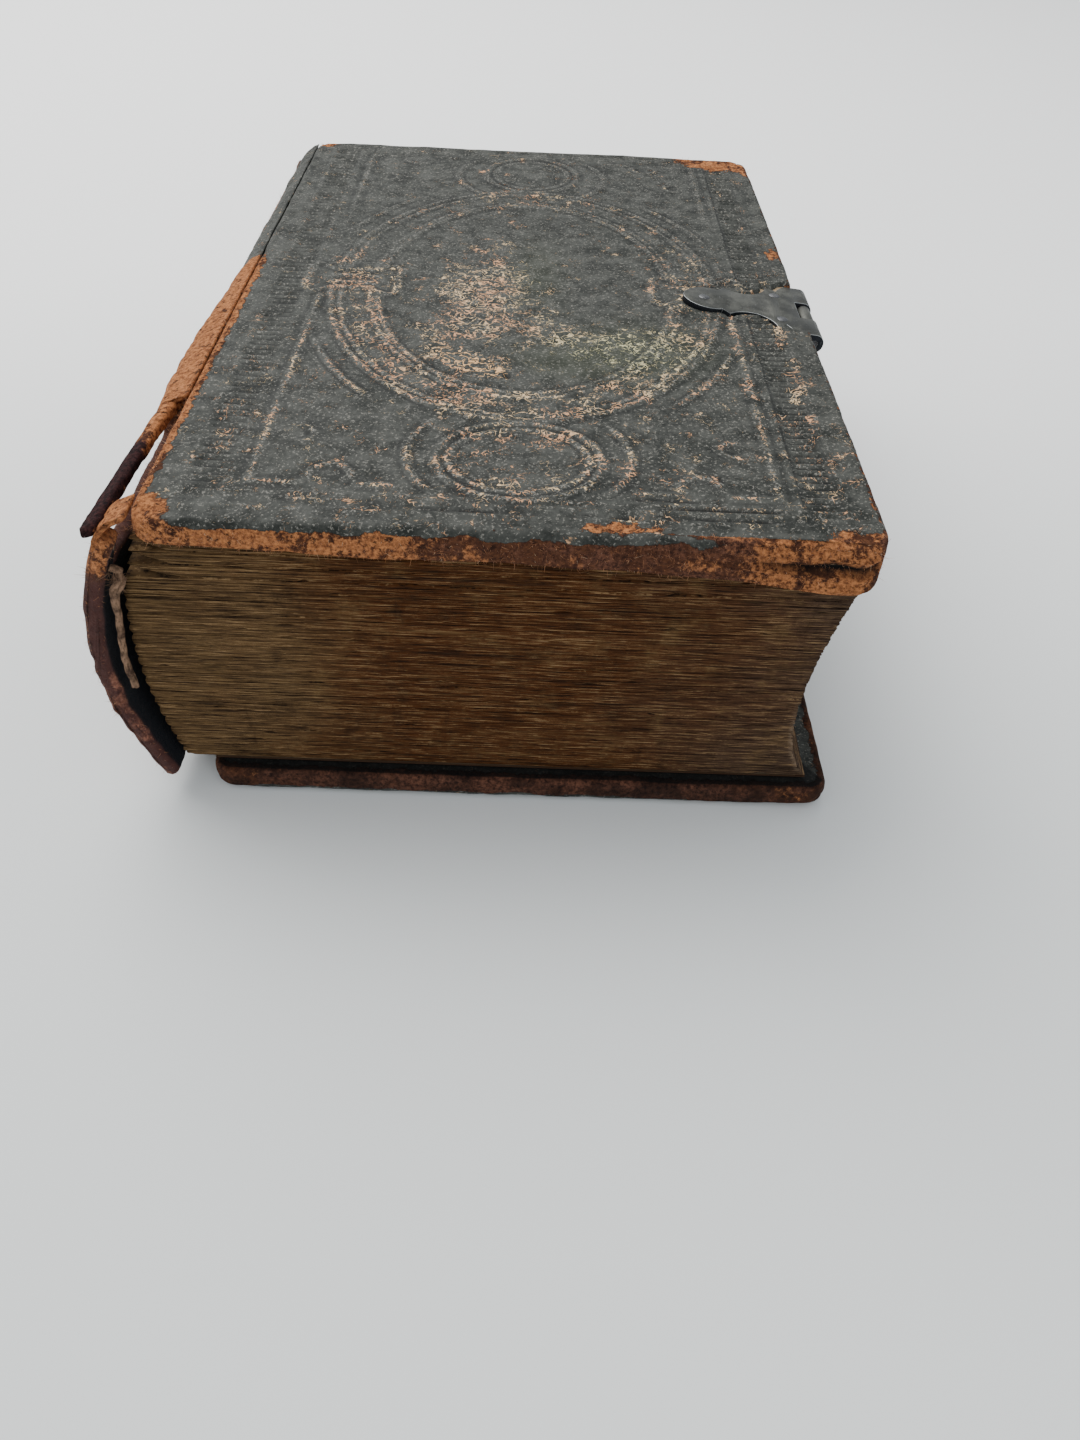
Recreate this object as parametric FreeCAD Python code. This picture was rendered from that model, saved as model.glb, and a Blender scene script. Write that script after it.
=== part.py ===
import FreeCAD, Part

import math
import os

# A thick leather-bound prayer book: two covers hinged on a rounded block of folded gatherings,
# a hollow spine cover that hangs from the upper joint, and a metal clasp across the fore-edge.
#
# Millimetres.  The origin is the centre of the lower cover's outer face, +X runs from the spine
# to the fore-edge, +Y from the tail to the head and +Z up through the closed book.

# ---------------------------------------------------------------- driving sizes: covers
COVER_WIDTH = 109.6         # spine edge to fore-edge of one cover
COVER_LENGTH = 171.0        # tail edge to head edge
LEATHER = 1.0               # covering leather on the outer face and edges
BOARD = 3.3                 # millboard core
TURN_IN = 0.5               # leather turned over the inner face, and the pastedown level with it
TURN_IN_WIDTH = 11.0
CORNER_RADIUS = 3.0
RIM_RADIUS = 0.9            # rounding of the outer face's rim
LEAN = 2.7                  # the upper cover has slumped this far towards the spine

# ---------------------------------------------------------------- driving sizes: text block
TEXT_THICKNESS = 46.1
TEXT_SQUARE = 3.0           # covers stand this far past the leaves at head and tail
SHOULDER = 1.5              # the folds stand this far past the upper cover's spine edge
BACK_ROUND = 3.6            # height of the rounded back's arc
FORE_ROUND = 5.0            # depth of the hollow fore-edge
FORE_SKEW = 0.7             # below 1 puts the deepest line under mid-height
LOWER_FORE_SQUARE = 4.0     # lower cover past the leaves at the fore-edge
UPPER_FORE_SQUARE = 0.4
GATHERINGS = 20
TURNING = 3                 # the front gatherings that turn with the upper cover
TURNING_GAP = 0.2           # between gatherings that turn
FOLD_BULGE = 0.45           # roundness of each folded back
ROOT_TAPER = 6.0            # a turning gathering thins to its fold over this length
FLYLEAF = 0.3
LEAF_GAP = 0.3              # free room on each side of a flyleaf

# ---------------------------------------------------------------- driving sizes: back and spine
LINING = 0.4                # cloth glued on the back between the sewing cords
CORD_WIDTH = 2.0
CORD_HEIGHT = 1.1
CORD_PLACES = (-60.0, -20.0, 20.0, 60.0)
CORD_MARGIN = 1.0           # bare back beside each cord
THREAD = 0.6
THREAD_INSET = 8.0          # kettle stitch from the ends of the text
ENDBAND_RADIUS = 0.85
ENDBAND_OUT = 0.2           # head band's centre behind the folds
HOLLOW = 3.6                # from the back's folds to the spine cover at mid-height
INLAY = 0.8
SPINE_LEATHER = 1.4
SPINE_TOP_OUT = 3.2         # inner top edge of the spine cover from the upper hinge line
SPINE_TOP_DOWN = 5.5
SPINE_FOOT_OUT = 1.6        # inner lower edge from the folds
SPINE_FOOT_UP = 4.4
JOINT_LEATHER = 1.2
JOINT_START = ((1.35, 1.25), (0.35, 1.7))    # its outer and inner start, out and down from the hinge line
TEAR_START = 5.0            # the joint is torn from here to TEAR_END, from the tail
TEAR_END = 36.5
TEAR_DROP = 8.0             # under the open joint the spine cover is torn away this far down its arc
TEAR_SPREAD = 6.5           # and this far on under the joint that still holds
STRIP_WIDTH = 1.5
STRIP_THICKNESS = 1.2
STRIP_DROP = 3.3            # strip's centre below the upper cover's outer face
STRIP_NEAR_OUT = 2.15       # strip's centre from the hinge line where it is still attached
STRIP_FAR_OUT = 5.1         # and at its free end

# ---------------------------------------------------------------- driving sizes: clasp
CLASP_Y = -4.0              # the clasp sits a little below mid-length
PLATE = 1.2
HINGE_PLATE_TILT = 5.5      # degrees that the plate dips towards the fore-edge
CATCH_PLATE_TILT = 2.5
PLATE_LENGTH = 25.2         # barrel axis to the plate's tip
PLATE_HALF_WIDTH = 10.8
TIP_LIFT = 0.1              # hinge plate's tip above the upper cover's leather
CATCH_SINK = 0.5            # catch plate's tip inside the lower cover's outer face
BARREL_RADIUS = 1.8
NOTCH_HALF_WIDTH = 3.6
NOTCH_DEPTH = 2.1           # from the barrel axis into the plate
PIN_RADIUS = 0.6
BAR_RADIUS = 1.0
EDGE_REBATE = 0.8           # fore-edge cut back behind the barrels
EDGE_CLEAR = 0.3
BED_CLEAR = 0.15            # leather round a plate
RIVET_RADIUS = 0.6
RIVET_HEAD_RADIUS = 1.15
RIVET_HEAD_HEIGHT = 0.3
RIVET_PLACES = ((6.0, 5.5), (6.0, -5.5), (21.0, 0.0))    # from the barrel axis, along Y
HASP = 1.3
HASP_HALF_WIDTH = 5.4
HASP_WAIST = 3.6
HASP_NECK = 3.3
KNUCKLE_RADIUS = 1.5
KNUCKLE_BORE_CLEAR = 0.08
HOOK = 1.1
HOOK_PAST_BAR = 0.9         # hook's tip past the catch bar's centre
HOOK_CLEAR = 0.3
UNLATCHED_CLEAR = 0.45      # hook to bar when the hasp hangs loose

# ---------------------------------------------------------------- levels and edges
COVER = LEATHER + BOARD + TURN_IN
TEXT_BOTTOM = COVER + LEAF_GAP + FLYLEAF + LEAF_GAP
TEXT_TOP = TEXT_BOTTOM + TEXT_THICKNESS
HEIGHT = TEXT_TOP + LEAF_GAP + FLYLEAF + LEAF_GAP + COVER
LOWER_SPINE_X = -COVER_WIDTH / 2
LOWER_FORE_X = COVER_WIDTH / 2
UPPER_SPINE_X = LOWER_SPINE_X - LEAN
UPPER_FORE_X = LOWER_FORE_X - LEAN
HEAD_Y = COVER_LENGTH / 2
TEXT_HEAD_Y = HEAD_Y - TEXT_SQUARE
FOLD_X = UPPER_SPINE_X - SHOULDER
GATHERING = TEXT_THICKNESS / GATHERINGS

BACK_HALF = TEXT_THICKNESS / 2
BACK_RADIUS = (BACK_HALF ** 2 + BACK_ROUND ** 2) / (2 * BACK_ROUND)
BACK_CENTRE = (FOLD_X - BACK_ROUND + BACK_RADIUS, (TEXT_BOTTOM + TEXT_TOP) / 2)

V = FreeCAD.Vector
Y_AXIS = V(0, 1, 0)


# ---------------------------------------------------------------- helpers
def point(x, z, y=0.0):
    """A vector from a profile point in the XZ plane."""
    return V(x, y, z)


def straight(a, b):
    """Edge between two (x, z) points."""
    return Part.LineSegment(point(*a), point(*b)).toShape()


def curved(a, middle, b):
    """Circular edge through three (x, z) points."""
    return Part.Arc(point(*a), point(*middle), point(*b)).toShape()


def extruded(edges, y_low, y_high):
    """Solid of a closed XZ outline, from y_low to y_high."""
    face = Part.Face(Part.Wire(edges))
    face.translate(V(0, y_low, 0))
    return face.extrude(V(0, y_high - y_low, 0))


def box(x, y, z):
    """Box from (low, high) pairs."""
    return Part.makeBox(x[1] - x[0], y[1] - y[0], z[1] - z[0], V(x[0], y[0], z[0]))


def rounded_plate(x, y, z, radius):
    """Box whose upright corners are rounded."""
    plate = box(x, y, z)
    upright = [e for e in plate.Edges if abs(e.Vertexes[0].Z - e.Vertexes[-1].Z) > (z[1] - z[0]) / 2]
    return plate.makeFillet(radius, upright)


def polar(centre, radius, angle):
    """Point of an XZ circle; the angle is in radians from +X towards +Z."""
    return (centre[0] + radius * math.cos(angle), centre[1] + radius * math.sin(angle))


def ring_sector(centre, inner, outer, start, end, y_low, y_high):
    """Curved slab between two concentric arcs."""
    middle = (start + end) / 2
    edges = [
        curved(polar(centre, outer, start), polar(centre, outer, middle), polar(centre, outer, end)),
        straight(polar(centre, outer, end), polar(centre, inner, end)),
        curved(polar(centre, inner, end), polar(centre, inner, middle), polar(centre, inner, start)),
        straight(polar(centre, inner, start), polar(centre, outer, start)),
    ]
    return extruded(edges, y_low, y_high)


def circle_through(a, b, c):
    """Centre and radius of the XZ circle through three points."""
    found = Part.Arc(point(*a), point(*b), point(*c)).toShape().Curve
    return (found.Center.x, found.Center.z), found.Radius


def angle_of(centre, p):
    """Angle of a point about an XZ centre, from 0 to a full turn."""
    return math.atan2(p[1] - centre[1], p[0] - centre[0]) % (2 * math.pi)


def fused(shapes):
    """One clean solid from overlapping shapes."""
    whole = shapes[0]
    for other in shapes[1:]:
        whole = whole.fuse(other)
    return whole.removeSplitter()


def write(node, shape):
    """Saves one node and reports its size."""
    shape.exportStep("parts/" + node + ".step")
    print(node, len(shape.Solids), "solid(s)", round(shape.Volume, 1), "mm3", shape.isValid())


# ---------------------------------------------------------------- text block
def share_up(z):
    """0 at the text's foot, 1 at its top."""
    return min(1.0, max(0.0, (z - TEXT_BOTTOM) / TEXT_THICKNESS))


def fold_line(z):
    """X of the folds: the rounded back's arc."""
    return BACK_CENTRE[0] - math.sqrt(BACK_RADIUS ** 2 - (z - BACK_CENTRE[1]) ** 2)


def fore_line(z):
    """X of the leaves' fore-edges: a hollow, deepest below mid-height."""
    t = share_up(z)
    u = t ** FORE_SKEW
    foot = LOWER_FORE_X - LOWER_FORE_SQUARE
    top = UPPER_FORE_X - UPPER_FORE_SQUARE
    return foot + (top - foot) * t - FORE_ROUND * 4 * u * (1 - u)


def fixed_gathering(z_low, z_high):
    """A gathering sewn to the back: a slab with a round fold."""
    back_low, back_high = (fold_line(z_low), z_low), (fold_line(z_high), z_high)
    fore_low, fore_high = (fore_line(z_low), z_low), (fore_line(z_high), z_high)
    bulge = ((back_low[0] + back_high[0]) / 2 - FOLD_BULGE, (z_low + z_high) / 2)
    edges = [
        straight(back_low, fore_low),
        straight(fore_low, fore_high),
        straight(fore_high, back_high),
        curved(back_high, bulge, back_low),
    ]
    return extruded(edges, -TEXT_HEAD_Y, TEXT_HEAD_Y)


def turning_gathering(z_low, z_high):
    """A front gathering that turns about its top back edge, where it thins to its fold."""
    top, low = z_high, z_low + TURNING_GAP
    edges = [
        straight((fold_line(top), top), (fold_line(top) + ROOT_TAPER, low)),
        straight((fold_line(top) + ROOT_TAPER, low), (fore_line(low), low)),
        straight((fore_line(low), low), (fore_line(top), top)),
        straight((fore_line(top), top), (fold_line(top), top)),
    ]
    return extruded(edges, -TEXT_HEAD_Y, TEXT_HEAD_Y)


def make_gatherings():
    """Numbered from the front of the book, which is the top."""
    for number in range(1, GATHERINGS + 1):
        z_high = TEXT_TOP - (number - 1) * GATHERING
        maker = turning_gathering if number <= TURNING else fixed_gathering
        write("gathering_%02d" % number, maker(z_high - GATHERING, z_high))


def make_flyleaves():
    """Free endpapers, one under each cover."""
    y = (-TEXT_HEAD_Y, TEXT_HEAD_Y)
    front_low = TEXT_TOP + LEAF_GAP
    rear_low = COVER + LEAF_GAP
    write("front_flyleaf", box((UPPER_SPINE_X + LEAF_GAP, fore_line(TEXT_TOP)), y,
                               (front_low, front_low + FLYLEAF)))
    write("rear_flyleaf", box((LOWER_SPINE_X + LEAF_GAP, fore_line(TEXT_BOTTOM)), y,
                              (rear_low, rear_low + FLYLEAF)))


# ---------------------------------------------------------------- back of the text block
def back_angles(z_low, z_high):
    """Angles about the back's centre at two heights, upper one first."""
    return [math.pi - math.asin((z - BACK_CENTRE[1]) / BACK_RADIUS) for z in (z_high, z_low)]


def back_layer(offset, thickness, y_low, y_high):
    """Part of a layer that follows the back of the sewn gatherings."""
    start, end = back_angles(TEXT_BOTTOM, TEXT_TOP - TURNING * GATHERING)
    inner = BACK_RADIUS + FOLD_BULGE + offset
    return ring_sector(BACK_CENTRE, inner, inner + thickness, start, end, y_low, y_high)


def make_back():
    """Sewing cords, kettle stitches and the lining between them."""
    half = CORD_WIDTH / 2
    write("sewing_cords", Part.makeCompound(
        [back_layer(0, CORD_HEIGHT, y - half, y + half) for y in CORD_PLACES]))
    thread_y = TEXT_HEAD_Y - THREAD_INSET
    write("kettle_stitches", Part.makeCompound(
        [back_layer(0, THREAD, y - THREAD / 2, y + THREAD / 2) for y in (-thread_y, thread_y)]))
    stops = [-thread_y] + list(CORD_PLACES) + [thread_y]
    gap = half + CORD_MARGIN
    write("spine_lining", Part.makeCompound(
        [back_layer(0, LINING, a + gap, b - gap) for a, b in zip(stops, stops[1:])]))


def rod(points, radius, bend, y):
    """Round rod along an XZ route of runs joined by arcs, in the plane at y."""
    route = [point(p[0], p[1], y) for p in points]
    edges, start = [], route[0]
    for before, corner, after in zip(route, route[1:], route[2:]):
        a, b = (before - corner).normalize(), (after - corner).normalize()
        half_angle = a.getAngle(b) / 2
        reach = bend / math.tan(half_angle)
        centre = corner + (a + b).normalize() * (bend / math.sin(half_angle))
        middle = centre + (corner - centre).normalize() * bend
        edges.append(Part.LineSegment(start, corner + a * reach).toShape())
        edges.append(Part.Arc(corner + a * reach, middle, corner + b * reach).toShape())
        start = corner + b * reach
    edges.append(Part.LineSegment(start, route[-1]).toShape())
    path = Part.Wire(edges)
    section = Part.Wire(Part.makeCircle(radius, route[0], route[1] - route[0]))
    return path.makePipeShell([section], True, False)


def make_endbands():
    """Cores of the bands at head and tail; the tail one has come loose in the hollow."""
    reach = BACK_RADIUS + ENDBAND_OUT
    start, end = back_angles(TEXT_BOTTOM, TEXT_TOP - TURNING * GATHERING)
    first = polar(BACK_CENTRE, reach, start)
    across = V(first[1] - BACK_CENTRE[1], 0, BACK_CENTRE[0] - first[0])
    disc = Part.Face(Part.Wire(Part.makeCircle(
        ENDBAND_RADIUS, point(*first, y=TEXT_HEAD_Y + ENDBAND_RADIUS), across)))
    head = disc.revolve(point(*BACK_CENTRE), Y_AXIS, -math.degrees(end - start))
    write("head_endband_core", head)
    top = TEXT_TOP - TURNING * GATHERING - 2 * ENDBAND_RADIUS
    slack = (HOLLOW - ENDBAND_RADIUS) / 2
    heights = (top, top - 0.05 * TEXT_THICKNESS, top - 0.2 * TEXT_THICKNESS,
               top - 0.38 * TEXT_THICKNESS, top - 0.52 * TEXT_THICKNESS)
    drift = (0.0, 0.8, 0.5, 0.7, 1.0)
    route = [(fold_line(z) - slack * share, z) for z, share in zip(heights, drift)]
    write("tail_endband_core", rod(route, ENDBAND_RADIUS, 4 * ENDBAND_RADIUS / 2,
                                   -TEXT_HEAD_Y - ENDBAND_RADIUS))


# ---------------------------------------------------------------- spine cover
def spine_circle():
    """Circle of the spine cover's inner face, and the angles of its top and foot."""
    top = (UPPER_SPINE_X - SPINE_TOP_OUT, HEIGHT - SPINE_TOP_DOWN)
    foot = (FOLD_X - SPINE_FOOT_OUT, SPINE_FOOT_UP)
    middle = (FOLD_X - BACK_ROUND - FOLD_BULGE - HOLLOW, (top[1] + foot[1]) / 2)
    centre, radius = circle_through(top, middle, foot)
    return centre, radius, angle_of(centre, top), angle_of(centre, foot)


def joint_strip(y_low, y_high):
    """Leather from the spine cover's top edge up towards the hinge line."""
    centre, radius, top_angle, _ = spine_circle()
    middle = radius + INLAY + SPINE_LEATHER / 2
    sunk = top_angle + JOINT_LEATHER / 2 / radius
    outer = polar(centre, middle + JOINT_LEATHER / 2, sunk)
    inner = polar(centre, middle - JOINT_LEATHER / 2, sunk)
    start = [(UPPER_SPINE_X - out, HEIGHT - down) for out, down in JOINT_START]
    corners = [start[0], outer, inner, start[1]]
    shell = ring_sector(centre, radius, radius + INLAY + SPINE_LEATHER, top_angle,
                        top_angle + 0.2, y_low - 1, y_high + 1)
    edges = [straight(a, b) for a, b in zip(corners, corners[1:] + corners[:1])]
    return extruded(edges, y_low, y_high).cut(shell)


def make_spine():
    """Curved shell of card and leather, its joint strip, and the strip torn from the joint."""
    centre, radius, top_angle, foot_angle = spine_circle()
    outer = radius + INLAY + SPINE_LEATHER
    tear = ring_sector(centre, radius - 1, outer + 1, top_angle - 0.1, top_angle + TEAR_DROP / radius,
                       -HEAD_Y + TEAR_START, -HEAD_Y + TEAR_END + TEAR_SPREAD)
    write("spine_inlay", ring_sector(centre, radius, radius + INLAY, top_angle, foot_angle,
                                     -HEAD_Y + TEXT_SQUARE, HEAD_Y - TEXT_SQUARE).cut(tear))
    outside = ring_sector(centre, radius + INLAY, outer, top_angle, foot_angle, -HEAD_Y, HEAD_Y)
    ends = [ring_sector(centre, radius, radius + INLAY, top_angle, foot_angle, low, high)
            for low, high in ((-HEAD_Y, -HEAD_Y + TEXT_SQUARE), (HEAD_Y - TEXT_SQUARE, HEAD_Y))]
    write("spine_leather", fused([outside] + ends).cut(tear))
    write("upper_joint_leather", Part.makeCompound([
        joint_strip(-HEAD_Y, -HEAD_Y + TEAR_START),
        joint_strip(-HEAD_Y + TEAR_END, HEAD_Y)]))
    write("torn_spine_strip", torn_strip())


def torn_strip():
    """Strap that bows away from the torn joint, lying just off the spine's shoulder."""
    z = HEIGHT - STRIP_DROP
    y_root, y_end = -HEAD_Y + TEAR_END, -HEAD_Y + STRIP_WIDTH
    near = V(UPPER_SPINE_X - STRIP_NEAR_OUT - STRIP_WIDTH / 2, y_root, z)
    far = V(UPPER_SPINE_X - STRIP_FAR_OUT - STRIP_WIDTH / 2, y_end, z)
    bow = V(near.x * 0.4 + far.x * 0.6, (y_root + y_end) / 2, z)
    across = V(STRIP_WIDTH, 0, 0)
    outline = Part.Wire([
        Part.Arc(near, bow, far).toShape(),
        Part.LineSegment(far, far + across).toShape(),
        Part.Arc(far + across, bow + across, near + across).toShape(),
        Part.LineSegment(near + across, near).toShape(),
    ])
    strap = Part.Face(outline).extrude(V(0, 0, STRIP_THICKNESS))
    strap.translate(V(0, 0, -STRIP_THICKNESS / 2))
    return strap


# ---------------------------------------------------------------- clasp
def barrel_axis(upper):
    """XZ place of a clasp plate's barrel axis."""
    fore = UPPER_FORE_X if upper else LOWER_FORE_X
    x = fore - EDGE_REBATE + EDGE_CLEAR + BARREL_RADIUS
    tilt = HINGE_PLATE_TILT if upper else CATCH_PLATE_TILT
    rise = PLATE_LENGTH * math.sin(math.radians(tilt))
    if upper:
        under_tip = BARREL_RADIUS - PLATE
        return x, HEIGHT + TIP_LIFT - rise - under_tip
    return x, CATCH_SINK + rise + BARREL_RADIUS


def plate_outline(grow):
    """Half outline of a clasp plate, as (inward, sideways) pairs, ready to be mirrored."""
    w = PLATE_HALF_WIDTH + grow
    tip = PLATE_LENGTH + grow
    return [
        ("line", (0.0, w), (3.2, w)),
        ("arc", (3.2, w), (4.6, 9.2 + grow), (5.4, 7.8 + grow)),
        ("line", (5.4, 7.8 + grow), (7.4, 9.6 + grow)),
        ("arc", (7.4, 9.6 + grow), (8.4, 6.6 + grow), (10.4, 4.8 + grow)),
        ("arc", (10.4, 4.8 + grow), (13.6, 4.5 + grow), (16.4, 6.2 + grow)),
        ("line", (16.4, 6.2 + grow), (17.8, 4.5 + grow)),
        ("arc", (17.8, 4.5 + grow), (23.4, 3.5 + grow), (tip, 0.0)),
    ]


def plate_slab(grow, z_low, z_high):
    """Plate outline as a slab about the barrel axis, inward along -X."""
    edges = []
    for side in (1, -1):
        for kind, *places in plate_outline(grow):
            spots = [V(-u, side * v, z_low) for u, v in places]
            maker = Part.LineSegment if kind == "line" else Part.Arc
            edges.append(maker(*spots).toShape())
    w = PLATE_HALF_WIDTH + grow
    edges.append(Part.LineSegment(V(0, w, z_low), V(0, -w, z_low)).toShape())
    wire = Part.Wire(Part.__sortEdges__(edges))
    return Part.Face(wire).extrude(V(0, 0, z_high - z_low))


def along_y(radius, y_low, y_high):
    """Cylinder on the Y axis."""
    return Part.makeCylinder(radius, y_high - y_low, V(0, y_low, 0), Y_AXIS)


def placed(shape, upper):
    """Tilts a plate-frame shape and puts it on its cover; the lower one is turned over."""
    moved = shape.copy()
    if not upper:
        moved = moved.mirror(V(0, 0, 0), V(0, 0, 1))
    tilt = HINGE_PLATE_TILT if upper else -CATCH_PLATE_TILT
    moved.rotate(V(0, 0, 0), Y_AXIS, tilt)
    x, z = barrel_axis(upper)
    moved.translate(V(x, CLASP_Y, z))
    return moved


def rivet_bores(depth):
    """Shanks of a plate's rivets, down from the plate's face."""
    return [Part.makeCylinder(RIVET_RADIUS, depth, V(-u, v, BARREL_RADIUS), V(0, 0, -1))
            for u, v in RIVET_PLACES]


def clasp_plate(upper, bore):
    """Plate with two rolled barrels either side of a notch."""
    plate = plate_slab(0, BARREL_RADIUS - PLATE, BARREL_RADIUS)
    barrels = along_y(BARREL_RADIUS, -PLATE_HALF_WIDTH, PLATE_HALF_WIDTH)
    whole = plate.fuse(barrels)
    notch = box((-NOTCH_DEPTH, 2 * BARREL_RADIUS), (-NOTCH_HALF_WIDTH, NOTCH_HALF_WIDTH),
                (-2 * BARREL_RADIUS, 2 * BARREL_RADIUS))
    for tool in [notch, along_y(bore, -2 * PLATE_HALF_WIDTH, 2 * PLATE_HALF_WIDTH)] + rivet_bores(PLATE):
        whole = whole.cut(tool)
    return placed(whole.removeSplitter(), upper)


def rivets(upper):
    """Three rivets whose shanks reach the board's inner face."""
    solids = []
    for (u, v), shank in zip(RIVET_PLACES, rivet_bores(PLATE + BOARD / 2)):
        radius = (RIVET_HEAD_RADIUS ** 2 + RIVET_HEAD_HEIGHT ** 2) / (2 * RIVET_HEAD_HEIGHT)
        ball = Part.makeSphere(radius, V(-u, v, BARREL_RADIUS + RIVET_HEAD_HEIGHT - radius))
        cap = Part.makeCylinder(2 * RIVET_HEAD_RADIUS, RIVET_HEAD_HEIGHT, V(-u, v, BARREL_RADIUS))
        solids.append(placed(fused([ball.common(cap), shank]), upper))
    return Part.makeCompound(solids)


def clasp_tools(upper):
    """What a cover gives up for its clasp plate: bed, edge rebate and rivet holes."""
    far = 4 * BARREL_RADIUS
    bed = plate_slab(BED_CLEAR, BARREL_RADIUS - PLATE - TIP_LIFT / 2, far)
    tools = [placed(bed, upper)]
    fore = UPPER_FORE_X if upper else LOWER_FORE_X
    half = PLATE_HALF_WIDTH + EDGE_CLEAR
    tools.append(box((fore - EDGE_REBATE, fore + far), (CLASP_Y - half, CLASP_Y + half),
                     (-far, HEIGHT + far)))
    tools += [placed(shank, upper) for shank in rivet_bores(PLATE + BOARD / 2)]
    return tools


def hasp_frame():
    """Where the catch bar stands from the hasp's pin: distance, and angle from straight down."""
    top, low = barrel_axis(True), barrel_axis(False)
    dx, dz = low[0] - top[0], top[1] - low[1]
    return math.hypot(dx, dz), math.atan2(dx, dz)


def hasp_angles():
    """Angles from straight down: latched, and hanging loose just clear of the bar."""
    distance, bar_angle = hasp_frame()
    bar_side = HASP / 2 + HOOK_CLEAR + BAR_RADIUS
    latched = bar_angle + math.asin(bar_side / distance)
    tip = math.atan2(bar_side + HOOK_PAST_BAR, distance + BAR_RADIUS + HOOK_CLEAR)
    loose = bar_angle + math.asin(BAR_RADIUS / distance) + UNLATCHED_CLEAR / distance + tip
    return latched, loose


def hasp_blade(distance):
    """Flat of the hasp in the YZ plane, hanging from the pin at the origin."""
    neck = -KNUCKLE_RADIUS - 1.5
    foot = -(distance - 5.0)
    broad_top, broad_foot = neck - 4.0, foot + 4.0
    middle = (broad_top + broad_foot) / 2
    end = -(distance + BAR_RADIUS + HOOK_CLEAR + HOOK)
    edges = []
    for side in (1, -1):
        def spot(y, z):
            return V(-HASP / 2, side * y, z)
        edges += [
            Part.LineSegment(spot(HASP_NECK, 0), spot(HASP_NECK, neck)).toShape(),
            Part.LineSegment(spot(HASP_NECK, neck), spot(HASP_HALF_WIDTH, broad_top)).toShape(),
            Part.Arc(spot(HASP_HALF_WIDTH, broad_top), spot(HASP_WAIST, middle),
                     spot(HASP_HALF_WIDTH, broad_foot)).toShape(),
            Part.LineSegment(spot(HASP_HALF_WIDTH, broad_foot), spot(HASP_NECK, foot)).toShape(),
            Part.LineSegment(spot(HASP_NECK, foot), spot(HASP_NECK, end)).toShape(),
        ]
    edges.append(Part.LineSegment(V(-HASP / 2, HASP_NECK, 0), V(-HASP / 2, -HASP_NECK, 0)).toShape())
    edges.append(Part.LineSegment(V(-HASP / 2, HASP_NECK, end), V(-HASP / 2, -HASP_NECK, end)).toShape())
    wire = Part.Wire(Part.__sortEdges__(edges))
    return Part.Face(wire).extrude(V(HASP, 0, 0))


def hasp():
    """Hasp with a knuckle at the top and a hook concentric with the pin at the foot."""
    distance, _ = hasp_frame()
    hook_inner = distance + BAR_RADIUS + HOOK_CLEAR
    width = (-HASP_NECK, HASP_NECK)
    tip_x = -(HASP / 2 + HOOK_CLEAR + BAR_RADIUS + HOOK_PAST_BAR)
    ring = along_y(hook_inner + HOOK, *width).cut(along_y(hook_inner, *width))
    hook = ring.common(box((tip_x, HASP / 2), width, (-2 * distance, 0)))
    blade = hasp_blade(distance).common(along_y(hook_inner + HOOK, -PLATE_HALF_WIDTH, PLATE_HALF_WIDTH))
    whole = fused([blade, hook, along_y(KNUCKLE_RADIUS, *width)])
    whole = whole.cut(along_y(PIN_RADIUS + KNUCKLE_BORE_CLEAR, -PLATE_HALF_WIDTH, PLATE_HALF_WIDTH))
    whole.rotate(V(0, 0, 0), Y_AXIS, -math.degrees(hasp_angles()[1]))
    x, z = barrel_axis(True)
    whole.translate(V(x, CLASP_Y, z))
    return whole


def make_clasp():
    """Hinge plate and hasp on the upper cover, catch plate and bar on the lower one."""
    write("hinge_plate", clasp_plate(True, PIN_RADIUS))
    write("hinge_plate_rivets", rivets(True))
    write("hasp_hinge_pin", placed(along_y(PIN_RADIUS, -PLATE_HALF_WIDTH, PLATE_HALF_WIDTH), True))
    write("clasp_hasp", hasp())
    write("catch_plate", clasp_plate(False, BAR_RADIUS))
    write("catch_plate_rivets", rivets(False))
    write("catch_bar", placed(along_y(BAR_RADIUS, -PLATE_HALF_WIDTH, PLATE_HALF_WIDTH), False))


# ---------------------------------------------------------------- covers
def inset(pair, amount):
    """A (low, high) pair drawn in at both ends."""
    return (pair[0] + amount, pair[1] - amount)


def cover_leather(x, y, outer_up):
    """Leather over the outer face and edges, turned in round the inner face."""
    z = (0.0, COVER)
    skin = rounded_plate(x, y, z, CORNER_RADIUS)
    rim = [e for e in skin.Edges if all(abs(v.Z) < 1e-6 for v in e.Vertexes)]
    skin = skin.makeFillet(RIM_RADIUS, rim)
    core = rounded_plate(inset(x, LEATHER), inset(y, LEATHER), (LEATHER, LEATHER + BOARD),
                         CORNER_RADIUS - LEATHER)
    window = box(inset(x, TURN_IN_WIDTH), inset(y, TURN_IN_WIDTH), (LEATHER + BOARD / 2, 2 * COVER))
    layers = {
        "leather": skin.cut(core).cut(window),
        "board": core,
        "pastedown": box(inset(x, TURN_IN_WIDTH), inset(y, TURN_IN_WIDTH), (LEATHER + BOARD, COVER)),
    }
    if outer_up:
        for name in layers:
            layers[name] = layers[name].mirror(V(0, 0, HEIGHT / 2), V(0, 0, 1))
    return layers


def make_cover(name, x, upper):
    """One cover in three layers, cut for its clasp plate."""
    layers = cover_leather(x, (-HEAD_Y, HEAD_Y), upper)
    tools = clasp_tools(upper)
    for layer in ("leather", "board"):
        for tool in tools:
            layers[layer] = layers[layer].cut(tool)
    for layer, shape in layers.items():
        write(name + "_" + layer, shape)


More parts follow.
